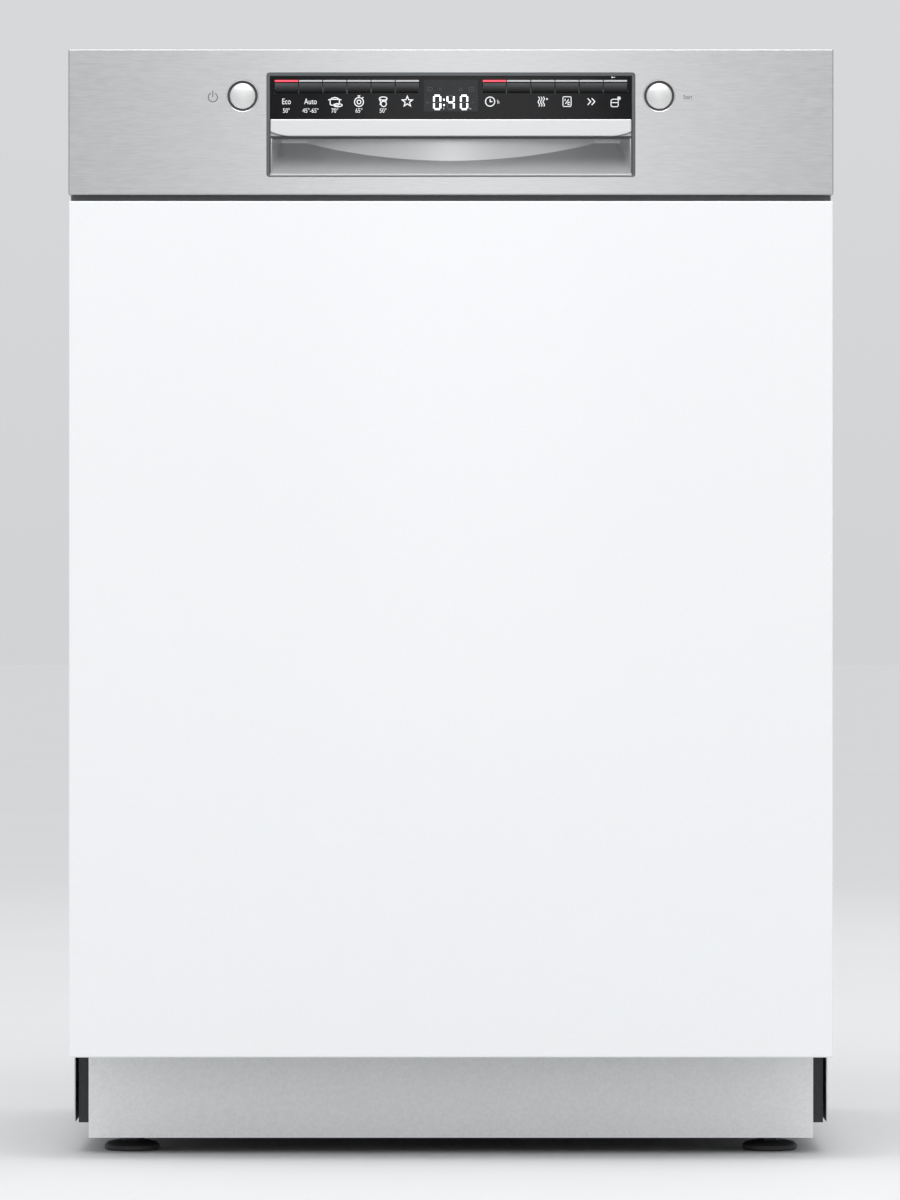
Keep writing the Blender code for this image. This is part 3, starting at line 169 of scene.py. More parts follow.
def make_materials():
    brushed = {"Anisotropic": 0.85, "Anisotropic Rotation": 0.25}
    finish("floor", "studio_floor_paint", (0.7, 0.705, 0.71), 0.85, 0.0, (0.69, 0.695, 0.7), 3)
    # Steel and other metal.
    finish("fascia", "brushed_fascia_steel", (0.51, 0.51, 0.515), 0.3, 1.0, (0.455, 0.455, 0.46),
           (85, 85, 950), 4, 8e-6, edges=(0.3, 0.7), **brushed)
    finish("collar", "spun_collar_steel", (0.78, 0.78, 0.79), 0.26, 1.0, size=300, spread=0.04)
    finish("stainless", "tub_stainless", (0.66, 0.66, 0.67), 0.24, 1.0, (0.61, 0.61, 0.62), 160, 5,
           1e-5, 0.06)
    finish("spring", "spring_steel", (0.2, 0.2, 0.21), 0.38, 1.0, size=400)
    galvanised()
    sieve()
    # Paint and lacquer.
    finish("lacquer", "white_satin_lacquer", (0.83, 0.836, 0.846), 0.38, 0.0, (0.82, 0.826, 0.836),
           420, 2, 1e-5, 0.03, Coat_Weight=0.1)
    finish("silver", "silver_bar_lacquer", (0.67, 0.67, 0.675), 0.3, 0.95, (0.65, 0.65, 0.655),
           (60, 60, 900), 2, spread=0.03)
    finish("button", "button_silver", (0.78, 0.775, 0.77), 0.42, 0.9, (0.75, 0.745, 0.74),
           1200, 2, 4e-6, 0.03, Coat_Weight=0.2)
    finish("grip", "grip_metallic_grey", (0.72, 0.72, 0.725), 0.32, 0.68, (0.68, 0.68, 0.685),
           1500, 2, 5e-6, 0.04)
    finish("pale", "pale_sheet_paint", (0.92, 0.925, 0.93), 0.42, size=500, depth=1e-5)
    # Key panel and display.
    finish("black_gloss", "black_gloss_acrylic", (0.007, 0.007, 0.008), 0.1, 0.0, (0.004, 0.004, 0.005),
           40, 2, spread=0.03, IOR=1.2)
    painted_sheen_key()
    finish("display", "display_glass", (0.016, 0.017, 0.018), 0.16, 0.0, (0.013, 0.014, 0.015), 60, IOR=1.27)
    finish("lit", "display_lit", (0.95, 0.97, 1.0), 0.4, glow=1.0, size=2000)
    finish("unlit", "display_unlit", (0.05, 0.05, 0.052), 0.4, size=2000)
    finish("led_on", "led_red", (0.9, 0.06, 0.09), 0.35, glow=0.9, size=800)
    finish("led_off", "led_clear", (0.55, 0.55, 0.55), 0.35, size=800)
    # The white print glows faintly: painted light that brightens it beyond what the lamps give.
    finish("print", "white_print_painted_glow", (0.88, 0.89, 0.9), 0.5, glow=0.12, size=2500)
    finish("dark_print", "dark_print", (0.045, 0.045, 0.05), 0.5, size=2500)
    # Plastic, rubber and fleece.
    finish("bezel", "bezel_grey", (0.13, 0.14, 0.145), 0.4, 0.2, size=500, depth=1e-5)
    finish("housing", "housing_plastic", (0.06, 0.06, 0.065), 0.5, size=900, depth=2e-5)
    finish("black", "black_moulded_plastic", (0.03, 0.03, 0.032), 0.55, 0.0, (0.024, 0.024, 0.026), 700,
           depth=4e-5)
    finish("white", "white_moulded_plastic", (0.76, 0.76, 0.745), 0.42, 0.0, (0.73, 0.73, 0.71), 300,
           depth=1e-5)
    finish("grey", "grey_moulded_plastic", (0.36, 0.37, 0.39), 0.45, 0.0, (0.33, 0.34, 0.36), 500,
           depth=2e-5)
    finish("wire", "coated_wire_grey", (0.5, 0.51, 0.53), 0.36, 0.0, (0.46, 0.47, 0.49), 300, 2, 1e-5,
           Coat_Weight=0.2)
    finish("rubber", "seal_rubber", (0.03, 0.03, 0.033), 0.7, 0.0, (0.022, 0.022, 0.024), 600, depth=3e-5)
    finish("fleece", "insulation_fleece", (0.5, 0.49, 0.47), 0.95, 0.0, (0.33, 0.32, 0.31), 260, 8, 0.0004,
           Sheen_Weight=0.3)


def galvanised():
    """Zinc-coated sheet: the coat's crystals show as patches of slightly different grey."""
    zinc = (0.56, 0.58, 0.6)
    tree, shader, where = finish("galvanised", "galvanised_sheet", zinc, 0.42, 0.95, size=500, depth=8e-6)
    cells = node(tree, "TexVoronoi", Scale=95.0)
    grey = node(tree, "SeparateColor")
    tint = node(tree, "Mix")
    tint.data_type = "RGBA"
    fill(tint, {"A": (0.52, 0.54, 0.56, 1), "B": (0.58, 0.6, 0.62, 1)})
    rough = node(tree, "MapRange", To_Min=0.37, To_Max=0.47)
    chain(tree, where, "Object", "Vector", cells, "Color", "Color", grey)
    chain(tree, grey, "Red", "Factor", tint, "Result", "Base Color", shader)
    chain(tree, grey, "Green", "Value", rough, "Result", "Roughness", shader)


def sieve():
    """Fine round perforation, drawn as a grid of dark dots with soft edges."""
    steel = (0.6, 0.6, 0.61)
    tree, shader, where = finish("sieve", "perforated_steel", steel, 0.3, 0.9, size=300)
    cells = node(tree, "TexVoronoi", Scale=520.0, Randomness=0.0)
    dots = ramp(tree, (0.3, (0.03, 0.03, 0.03)), (0.42, steel))
    bump = node(tree, "Bump", Distance=0.0003)
    chain(tree, where, "Object", "Vector", cells, "Distance", "Fac", dots, "Color", "Base Color", shader)
    chain(tree, dots, "Color", "Height", bump, "Normal", "Normal", shader)


def painted_sheen_key():
    """Gloss black that fades to dark grey at the key's upper edge: a painted highlight for the light that the
    upper part of each key catches.
    """
    tree, shader, where = finish("key", "key_gloss_painted_sheen", (0.012, 0.012, 0.013), 0.3, size=60, IOR=1.25)
    low, high = BOX[KEYS[0]]
    split = node(tree, "SeparateXYZ")
    sheen_height = node(tree, "MapRange", From_Min=low.z, From_Max=high.z)
    # Black at the bottom, lighter grey at the top: painted highlight, not the key's own colour.
    stops = (0.12, (0.004, 0.004, 0.004)), (0.45, (0.03, 0.031, 0.033)), (1.0, (0.085, 0.088, 0.092))
    tint = ramp(tree, *stops)
    chain(tree, where, "Object", "Vector", split, "Z", "Value", sheen_height, "Result", "Fac", tint)
    chain(tree, tint, "Color", "Base Color", shader)


# ---- pieces -------------------------------------------------------------------------------------
def loose(name, bm):
    """An object that rides on nothing yet."""
    mesh = bpy.data.meshes.new(name)
    bmesh.ops.recalc_face_normals(bm, faces=bm.faces)
    bm.to_mesh(mesh)
    bm.free()
    return place(name, mesh)


def settle(obj, body, material, replaces=(), angle=30):
    """Shades a piece, hangs it on its body and hides the CAD nodes it stands for."""
    obj.data.shade_smooth()
    obj.data.set_sharp_from_angle(angle=radians(angle))
    even = obj.modifiers.new("Normals", "WEIGHTED_NORMAL")
    even.keep_sharp, even.weight = True, 100
    bake(obj)
    obj.data.materials.clear()
    obj.data.materials.append(M[material])
    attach(obj, body)
    if replaces:
        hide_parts(*replaces)
    return obj


def piece(name, bm, body, material, replaces=(), angle=30):
    return settle(loose(name, bm), body, material, replaces, angle)


def evaluated(obj):
    """The mesh that an object's modifiers or curve come to."""
    bpy.context.view_layer.update()
    return bpy.data.meshes.new_from_object(obj.evaluated_get(bpy.context.evaluated_depsgraph_get()))


def bake(obj):
    mesh = evaluated(obj)
    obj.modifiers.clear()
    obj.data = mesh


def boolean(obj, operation, meshes):
    tools = [loose("tool", bm) for bm in meshes]
    for tool in tools:
        modifier = obj.modifiers.new("Boolean", "BOOLEAN")
        modifier.operation, modifier.solver, modifier.object = operation, "EXACT", tool
    bake(obj)
    for tool in tools:
        bpy.data.objects.remove(tool, do_unlink=True)


def cut(obj, *meshes):
    boolean(obj, "DIFFERENCE", meshes)


def add(obj, *meshes):
    boolean(obj, "UNION", meshes)


def soften(obj, width, segments):
    """Rounds the edges that are sharper than 50 degrees."""
    modifier = obj.modifiers.new("Bevel", "BEVEL")
    modifier.width, modifier.segments = width, segments
    modifier.limit_method, modifier.angle_limit = "ANGLE", radians(50)
    bake(obj)


def thicken(obj, sheet, centre, towards=1.0):
    """Gives an open surface its sheet's thickness, on the side of centre or, with -1, on the other side."""
    facing = sum((centre - f.center).dot(f.normal) * f.area for f in obj.data.polygons)
    wall = obj.modifiers.new("Solidify", "SOLIDIFY")
    wall.thickness, wall.offset = sheet, towards if facing > 0 else -towards
    bake(obj)


# ---- outlines and paths -------------------------------------------------------------------------
def even(low, high, count):
    """Evenly spaced values from low to high."""
    return [low + (high - low) * i / (count - 1) for i in range(count)]


def smooth(t):
    """Eases from 0 to 1, flat at both ends."""
    t = min(1.0, max(0.0, t))
    return t * t * (3 - 2 * t)


def loop(points):
    return points + points[:1]


def round_rect(low_u, low_v, high_u, high_v, radius, steps=5):
    """Outline of a rectangle with round corners, anticlockwise."""
    left, right, bottom, top = low_u + radius, high_u - radius, low_v + radius, high_v - radius
    points = []
    for u, v, start in ((right, bottom, -90), (right, top, 0), (left, top, 90), (left, bottom, 180)):
        for turn in even(start, start + 90, steps + 1):
            a = radians(turn)
            points.append((u + radius * cos(a), v + radius * sin(a)))
    return points


def fillet(points, radius, steps=5, closed=False):
    """Rounds the corners of a path by a radius, or by one radius for each corner."""
    points = [Vector(p) for p in points]
    count = len(points)
    radii = radius if isinstance(radius, list) else [radius] * count
    made = []
    for i, here in enumerate(points):
        if not closed and i in (0, count - 1):
            made.append(here)
            continue
        before, after = points[i - 1] - here, points[(i + 1) % count] - here
        reach = min(radii[i], before.length * 0.48, after.length * 0.48)
        a, b = here + before.normalized() * reach, here + after.normalized() * reach
        made += [a * (1 - t) ** 2 + here * 2 * t * (1 - t) + b * t**2 for t in even(0, 1, steps + 1)]
    return made


def arc(x, z, radius, start=0, end=360, steps=28, squash=1.0):
    turns = [radians(a) for a in even(start, end, steps + 1)]
    points = [(x + radius * cos(a), z + radius * squash * sin(a)) for a in turns]
    return loop(points[:-1]) if end - start == 360 else points


def star(x, z, outer, inner):
    points = []
    for i in range(10):
        a, r = radians(90 + 36 * i), inner if i % 2 else outer
        points.append((x + r * cos(a), z + r * sin(a)))
    return loop(points)


def rays(x, z, reach, step):
    """Short lines through one point."""
    arms = [(reach * cos(radians(a)), reach * sin(radians(a))) for a in range(0, 180, step)]
    return [[(x - u, z - v), (x + u, z + v)] for u, v in arms]


# ---- solids -------------------------------------------------------------------------------------
def slab(corner, opposite, radius=0.0, segments=3):
    """A box between two opposite corners, with rounded edges."""
    low, high = Vector(tuple(map(min, corner, opposite))), Vector(tuple(map(max, corner, opposite)))
    bm = bmesh.new()
    bmesh.ops.create_cube(bm, size=1.0)
    bmesh.ops.scale(bm, vec=high - low, verts=bm.verts)
    bmesh.ops.translate(bm, vec=(low + high) / 2, verts=bm.verts)
    if radius:
        edge = {"offset": radius, "segments": segments, "profile": 0.5}
        bmesh.ops.bevel(bm, geom=list(bm.edges), affect="EDGES", clamp_overlap=True, **edge)
    return bm


def loft(rings, caps=(False, False), cyclic=False):
    """Faces between successive rings of points. A ring of one point is a pole."""
    bm = bmesh.new()
    made = [[bm.verts.new(p) for p in ring] for ring in rings]
    pairs = list(zip(made, made[1:]))
    if cyclic:
        pairs.append((made[-1], made[0]))
    for a, b in pairs:
        count = max(len(a), len(b))
        for i in range(count):
            j = (i + 1) % count
            corners = list(dict.fromkeys((a[i % len(a)], a[j % len(a)], b[j % len(b)], b[i % len(b)])))
            if len(corners) > 2:
                bm.faces.new(corners)
    if caps[0]:
        bm.faces.new(made[0])
    if caps[1]:
        bm.faces.new(list(reversed(made[-1])))
    bm.normal_update()
    return bm


def faceted(bm):
    """Splits the faces of more than four corners into triangles."""
    bmesh.ops.triangulate(bm, faces=[f for f in bm.faces if len(f.verts) > 4])
    return bm


def prism(points, low, high, axis="Y"):
    """A prism along an axis, over an outline in the two other coordinates."""
    k = "XYZ".index(axis)
    return loft([[(*p[:k], at, *p[k:]) for p in points] for at in (low, high)], (True, True))


def lathe(profile, centre=(0, 0, 0), axis="Z", steps=48):
    """Turns (radius, height) points about an axis, closing the profile unless it starts on the axis."""
    turns = [2 * pi * i / steps for i in range(steps)]
    rings = [[(r * cos(a), r * sin(a), h) for a in turns] if r else [(0, 0, h)] for r, h in profile]
    bm = loft(rings, cyclic=profile[0][0] > 0)
    turn = {"Z": Matrix(), "Y": Matrix.Rotation(pi / 2, 4, "X"), "X": Matrix.Rotation(pi / 2, 4, "Y")}[axis]
    bmesh.ops.transform(bm, matrix=Matrix.Translation(centre) @ turn, verts=bm.verts)
    return bm


def rod(radius, low, high, centre=(0, 0, 0), axis="Z", steps=48):
    return lathe([(0, low), (radius, low), (radius, high), (0, high)], centre, axis, steps)


def merge(meshes):
    """Several bmeshes as one."""
    whole = bmesh.new()
    for bm in meshes:
        mesh = bpy.data.meshes.new("part")
        bmesh.ops.recalc_face_normals(bm, faces=bm.faces)
        bm.to_mesh(mesh)
        bm.free()
        whole.from_mesh(mesh)
        bpy.data.meshes.remove(mesh)
    return whole


def tube(name, paths, radius, body, material, replaces=(), sides=3):
    """Round wires or beads along paths, each (points, closed), as one piece."""
    curve = bpy.data.curves.new(name, "CURVE")
    curve.dimensions = "3D"
    curve.bevel_depth, curve.bevel_resolution, curve.use_fill_caps = radius, sides, True
    for points, closed in paths:
        spline = curve.splines.new("POLY")
        spline.points.add(len(points) - 1)
        for point, at in zip(spline.points, points):
            point.co = (*at, 1)
        spline.use_cyclic_u = closed
    maker = place(name + "_path", curve)
    mesh = evaluated(maker)
    bpy.data.objects.remove(maker, do_unlink=True)
    settle(place(name, mesh), body, material, replaces, 50)


def text(name, words, x, z, size, y, material="print", squeeze=0.76):
    curve = bpy.data.curves.new(name, "FONT")
    curve.body, curve.size, curve.extrude = words, size, 2e-5
    curve.align_x, curve.align_y = "CENTER", "CENTER"
    maker = place(name + "_text", curve)
    maker.location, maker.rotation_euler, maker.scale = (x, y, z), (pi / 2, 0, 0), (squeeze, 1, 1)
    mesh = evaluated(maker)
    mesh.transform(maker.matrix_world)
    bpy.data.objects.remove(maker, do_unlink=True)
    settle(place(name, mesh), "door", material)


def strokes(name, lines, width, y, material="print", body="door", at=(0, 0), unit=0.001):
    """Flat drawn lines as thin ribbons in front of a surface, their points in units from at = (x, z)."""
    back = y + 8e-5
    ribbons = []
    for line in lines:
        closed = line[0] == line[-1]
        points = [Vector((at[0] + unit * u, at[1] + unit * v)) for u, v in (line[:-1] if closed else line)]
        count = len(points)
        rings = []
        for i, here in enumerate(points):
            a = (here - points[i - 1]).normalized() if (i or closed) else None
            b = (points[(i + 1) % count] - here).normalized() if (i < count - 1 or closed) else a
            a = a or b
            across, middle = Vector((-a.y, a.x)), a + b
            normal = Vector((-middle.y, middle.x)).normalized() if middle.length > 1e-6 else across
            side = normal * (width / 2 / max(0.35, normal.dot(across)))
            p, q = here + side, here - side
            rings.append([(p.x, y, p.y), (p.x, back, p.y), (q.x, back, q.y), (q.x, y, q.y)])
        ribbons.append(loft(rings, (not closed, not closed), closed))
    piece(name, merge(ribbons), body, material)


# ---- fascia, key panel and grip -----------------------------------------------------------------
def button_rooms(radius, back, front):
    """Cylinders round the axes of the two buttons."""
    return [rod(radius, back, front, (MID[name].x, FACE, MID[name].z), "Y", 64) for name in BUTTONS]


def fascia():
    low, high = BOX["control_fascia"]
    beyond = 0.01
    side, over, under = INSERT_HALF + 0.0028, WINDOW_HIGH + 0.0028, WINDOW_LOW - 0.0013
    shell = loose("fascia_steel", slab(low, (high.x, high.y + beyond, high.z), 0.0012, 4))
    cut(
        shell,
        slab((low.x + SHEET, low.y + SHEET, low.z + SHEET), (high.x - SHEET, high.y + 0.02, high.z - SHEET)),
        slab((low.x - beyond, high.y, low.z - beyond), (high.x + beyond, high.y + 0.03, high.z + beyond)),
        prism(round_rect(-side, under, side, over, 0.0024), FACE - beyond, FACE + beyond),
        *button_rooms(0.0127, -beyond, beyond),
    )
    soften(shell, 0.00022, 2)
    settle(shell, "door", "fascia", ["control_fascia"], 40)


def bezel():
    """Grey frame in the window, sloping inwards, and the housing behind it."""
    side, under, over = INSERT_HALF + 0.0026, WINDOW_LOW - 0.0011, WINDOW_HIGH + 0.0026
    steps = [(0, 0.006), (0, 0.0004), (0.0003, 0.0002), (0.0018, 0.0006), (0.0024, 0.0013), (0.0024, 0.006)]
    rings = []
    for inset, depth in steps:
        sill, radius = under + min(inset, 0.0009), max(0.0004, 0.0023 - inset)
        ring = round_rect(-side + inset, sill, side - inset, over - inset, radius)
        rings.append([(x, FACE + depth, z) for x, z in ring])
    piece("window_bezel", loft(rings, cyclic=True), "door", "bezel", angle=35)

    low, high = BOX["control_housing"]
    wall, play, beyond = 0.0025, 0.0004, high.y + 0.01
    room = INSERT_HALF + play
    box = loose("control_housing_box", slab((low.x, FACE + 0.0013, low.z), high, 0.0006, 1))
    cut(
        box,
        slab((low.x + wall, FACE + 0.0038, low.z + wall), (high.x - wall, beyond, high.z - wall)),
        slab((-room, FACE - 0.01, WINDOW_LOW - play), (room, beyond, WINDOW_HIGH + play)),
        *button_rooms(0.0107, -0.03, 0.02),
    )
    settle(box, "door", "housing", ["control_housing"], 40)


def key_panel():
    low, high = BOX["key_panel"]
    play = 0.0003
    panel = loose("key_panel_gloss", slab(low, high, 0.0003, 2))
    rooms = []
    for first, last in ((KEYS[0], KEYS[5]), (KEYS[6], KEYS[11])):
        a, b = BOX[first][0], BOX[last][1]
        rooms.append(slab((a.x - play, low.y - 0.01, a.z - play), (b.x + play, high.y + 0.01, b.z + play)))
    cut(panel, *rooms)
    settle(panel, "door", "black_gloss", ["key_panel"], 40)

    for index, name in enumerate(KEYS):
        low, high = BOX[name]
        key(name, low, high)
        foot, head, proud = high.z + 0.0008, high.z + 0.0022, 0.0001
        light = slab((low.x, PANEL_FACE - proud, foot), (high.x, PANEL_FACE + 0.0008, head), proud, 1)
        piece(f"key_light_{index + 1}", light, "door", "led_on" if index in (0, 6) else "led_off")


def key(name, low, high):
    """A key whose face rolls back towards its lower edge, so that its upper part catches the light."""
    bottom, top, roll = low.z + 0.0002, high.z - 0.0002, 0.0011
    profile = [(low.y + 0.0001 + roll * (1 - t) ** 2.2, bottom + (top - bottom) * t) for t in even(0, 1, 9)]
    profile += [(high.y, top), (high.y, bottom)]
    cap = faceted(prism(profile, low.x + 0.0001, high.x - 0.0001, "X"))
    piece(name + "_cap", cap, "body_" + name, "key", [name], 30)


def handle_bar():
    """The bar's lower edge sweeps up at both ends."""
    low, high = BOX["handle_bar"]
    width, rise = 0.016, 0.0034
    sweep = [(width * (1 - t), rise * t**2) for t in even(0, 1, 13)]
    outline = [(high.x - u, low.z + v) for u, v in sweep] + [(high.x, high.z), (low.x, high.z)]
    outline += [(low.x + u, low.z + v) for u, v in reversed(sweep)]
    bar = loose("handle_bar_silver", prism(outline, low.y, high.y))
    soften(bar, 0.0009, 4)
    settle(bar, "door", "silver", ["handle_bar"], 40)


CUP_TOP = BOX["handle_bar"][0].z - 0.0017  # Where the open part of the grip ends, just below the bar.


def grip_cup():
    """The cup's ramp, side walls and bulging back wall, all as one moulding."""
    low, high = BOX["grip_cup"]
    half, reach, slope, draft = INSERT_HALF, high.y - 0.002 - FACE, 0.75, 0.0076
    top, mouth = high.z, low.z + 0.001
    cup = loose("grip_moulding", slab(low, high))
    front, lip, step = -0.006, 0.001, 0.0085
    side_view = [(front, mouth), (lip, mouth), (reach, mouth + slope * (reach - lip)), (reach, top - 0.002)]
    side_view += [(step, top - 0.002), (step, CUP_TOP + 0.0003), (front, CUP_TOP + 0.0003)]
    rings = []
    for sign in (-1, 1):
        shares = [min(1.0, max(0.0, u / reach)) for u, v in side_view]
        widths = [sign * (half - 0.0004 - draft * share) for share in shares]
        rings.append([(x, FACE + u, v) for x, (u, v) in zip(widths, side_view)])
    bar_room = slab((-half - 0.01, FACE - 0.01, CUP_TOP), (half + 0.01, FACE + 0.0072, top + 0.01))
    cut(cup, bar_room, faceted(loft(rings, (True, True))))

    # The bulge: a wall over an arc, cut off by the cup's back.
    sagitta, chord = 0.0215, 0.117
    radius = (chord**2 + sagitta**2) / (2 * sagitta)
    nearest, back = FACE + 0.0163, high.y - 0.0008
    limit = sqrt(radius**2 - (radius - (back - nearest)) ** 2)
    outline = [(x, nearest + radius - sqrt(radius**2 - x**2)) for x in even(-limit, limit, 97)]
    add(cup, prism(outline, low.z + 0.004, top - 0.0006, "Z"))
    settle(cup, "door", "grip", ["grip_cup"], 28)


def grip_trim():
    """Thin light edge along the mouth of the grip, grey trims beside it, and a dark strip in the slot under
    the bar, painted shade standing in for the bar's shadow.
    """
    low, half = BOX["grip_cup"][0], INSERT_HALF
    x, y, foot, turn = half - 0.0008, FACE + 0.0009, low.z + 0.0008, low.z + 0.0026
    edge = fillet([(-x, y, turn), (-x, y, foot), (x, y, foot), (x, y, turn)], 0.0018)
    tube("grip_edge", [(edge, False)], 0.00045, "door", "silver")
    for side, hand in ((-1, "left"), (1, "right")):
        inner, outer = side * (half - 0.0007), side * (half + 0.0002)
        trim = slab((inner, FACE + 0.0002, low.z + 0.0018), (outer, FACE + 0.001, CUP_TOP), 0.0002, 1)
        piece("grip_side_trim_" + hand, trim, "door", "bezel")
    # Dark block in the slot under the bar: painted shade for the shadow there, not a real part.
    seat = half - 0.0002
    shade_block = slab((-seat, FACE + 0.003, CUP_TOP - 0.0002), (seat, FACE + 0.007, CUP_TOP + 0.0019))
    piece("handle_bar_shadow_strip", shade_block, "door", "housing")


def round_buttons():
    for name, body in BUTTONS.items():
        low, high = BOX[name]
        centre = (MID[name].x, FACE, MID[name].z)
        radius, face, back, rise = (high.x - low.x) / 2, FACE - low.y, FACE - high.y, 0.0034
        profile = [(0.0, back), (radius, back), (radius, face - rise)]
        for i in range(1, 14):
            a = radians(90 * (1 - i / 14))
            profile.append((radius * sin(a), face - rise + rise * cos(a)))
        profile.append((0.0, face))
        piece(name + "_dome", lathe(profile, centre, "Y", 64), body, "button", [name], 60)
        # Dished collar: dark above, where it looks down, and bright below.
        rim, width, dish = 0.0126, 0.0009, 0.0013
        collar = [(0.01268, -0.0008), (0.01268, 0.0)]
        for turn in even(0, 90, 7):
            a = radians(turn)
            collar.append((rim - width * sin(a), -dish * (1 - cos(a))))
        collar += [(0.0115, -0.0045), (0.0119, -0.0045), (0.012, -0.0014)]
        ring = lathe(collar, centre, "Y", 64)
        piece(name + "_collar", ring, "door", "collar", angle=50)


# ---- printed marks ------------------------------------------------------------------------------
SIGN_ROW = 0.829  # Height of the signs' middles.
PRINT_FACE = PANEL_FACE - 6e-5  # Front of the print on the key panel.


def sign(name, key_name, lines, share=1.0, shift=0.0):
    """A sign over a key, its lines in millimetres from its middle and 0.75 mm times share wide."""
    strokes(name, lines, 0.00075 * share, PRINT_FACE, at=(MID[key_name].x + shift, SIGN_ROW))


def program_signs():
    """Words and pictures of the six programs, and the heats below them."""
    eco, auto, pot, watch, glass, favourite = KEYS[:6]
    under, tall = 0.8218, 0.0064
    text("label_eco", "Eco", MID[eco].x, SIGN_ROW - 0.0001, tall, PRINT_FACE)
    text("label_auto", "Auto", MID[auto].x, SIGN_ROW - 0.0001, tall, PRINT_FACE)
    heats = {"eco": "50°", "auto": "45°-65°", "pot": "70°", "watch": "65°", "glass": "50°"}
    for key_name, (name, words) in zip(KEYS, heats.items()):
        text("label_heat_" + name, words, MID[key_name].x, under, 0.005, PRINT_FACE, squeeze=0.82)

    body = [(-3.6, 1.8), (3.6, 1.8), (3.6, -2), (2.8, -2.8), (-2.8, -2.8), (-3.6, -2)]
    handles = [[(-5.2, 1.4), (-3.8, 1.4)], [(3.8, 1.4), (5.2, 1.4)]]
    lid, hand = arc(0, 1.8, 3, 0, 180, 12, 0.45), arc(2.4, -2.8, 3.4, 0, 360, 20, 0.35)
    sign("icon_pot", pot, [loop(body), *handles, lid, hand])
    knob = [[(0, 3.2), (0, 4.6)], [(-1, 4.5), (1, 4.5)], [(2.6, 2.6), (3.4, 3.4)]]
    sign("icon_stopwatch", watch, [arc(0, -0.3, 3.5), arc(0, -0.3, 1.5), *knob])
    stem = [[(-3, 1.8), (-1.8, -0.4), (-2.6, -2.4)], [(3, 1.8), (2, 0.2)]]
    sign("icon_glassware", glass, [arc(0, 2.4, 3, 0, 360, 24, 0.42), arc(0.4, -1.8, 2.1), *stem])
    sign("icon_star", favourite, [star(0, 0, 4.2, 1.8)])


def option_signs():
    """Pictures of the options. The second option key has none."""
    clock, steam, half, faster, care = KEYS[6], *KEYS[8:]
    shift = -0.0034
    sign("icon_clock", clock, [arc(0, 0, 3.6), [(0, 2.2), (0, 0), (1.8, 0)]], shift=shift)
    text("label_hours", "h", MID[clock].x + shift + 0.0064, SIGN_ROW - 0.0003, 0.0046, PRINT_FACE)
    waves = []
    for k in (-1, 0, 1):
        waves.append([(1.9 * k + 0.6 * sin(pi * i / 5), -3.8 + 7.6 * i / 16) for i in range(17)])
    plus = [[(3.6, 2), (5.2, 2)], [(4.4, 1.2), (4.4, 2.8)]]
    sign("icon_extra_dry", steam, waves + plus, 0.85, -0.0012)
    frame_line = loop(round_rect(-3.2, -3.8, 3.2, 3.8, 0.9, 3))
    one, two = [(-1.5, 0.4), (-1.5, 2.2)], arc(1.4, -1, 0.7, 0, 180, 6) + [(0.8, -2.4), (2.2, -2.4)]
    sign("icon_half_load", half, [frame_line, [(-1.3, -1.8), (1.3, 1.8)], one, two], 0.8)
    sign("icon_faster", faster, [[(x - 1.2, 2.6), (x + 1.2, 0), (x - 1.2, -2.6)] for x in (-1.6, 1.6)])
    drum = [loop(round_rect(-3.4, -4, 2.2, 1.8, 1.2, 3)), [(-3.4, -0.8), (2.2, -0.8)]]
    sign("icon_care", care, drum + rays(2.8, 2.6, 1.5, 45), 0.8)
    lock = [arc(-1, 0, 0.35, 0, 360, 10), [(-0.6, 0), (1.4, 0)]]
    strokes("icon_child_lock", lock, 0.0004, PRINT_FACE, at=(MID[care].x - 0.0016, 0.848))


def steel_signs():
    """The power sign left of its button, and the word right of the other one."""
    y, z = FACE - 4e-5, MID["power_button"].z - 0.0012
    power = [arc(0, 0, 3.6, 118, 422, 30), [(0, 0.2), (0, 5.2)]]
    strokes("icon_power", power, 0.0006, y, "dark_print", at=(MID["power_button"].x - 0.0232, z))
    text("label_start", "Start", MID["start_button"].x + 0.0222, z, 0.0047, y, "dark_print")


# The seven bars of a digit, between (0, 0) and (1, 1), and the bars that each figure lights.
SEGMENTS = {
    "a": ((0.1, 1.0), (0.9, 1.0)),
    "b": ((1.0, 0.94), (1.0, 0.56)),
    "c": ((1.0, 0.44), (1.0, 0.06)),
    "d": ((0.1, 0.0), (0.9, 0.0)),
    "e": ((0.0, 0.44), (0.0, 0.06)),
    "f": ((0.0, 0.94), (0.0, 0.56)),
    "g": ((0.16, 0.5), (0.84, 0.5)),
}
DIGITS = {"0": "abcdef", "4": "bcfg"}


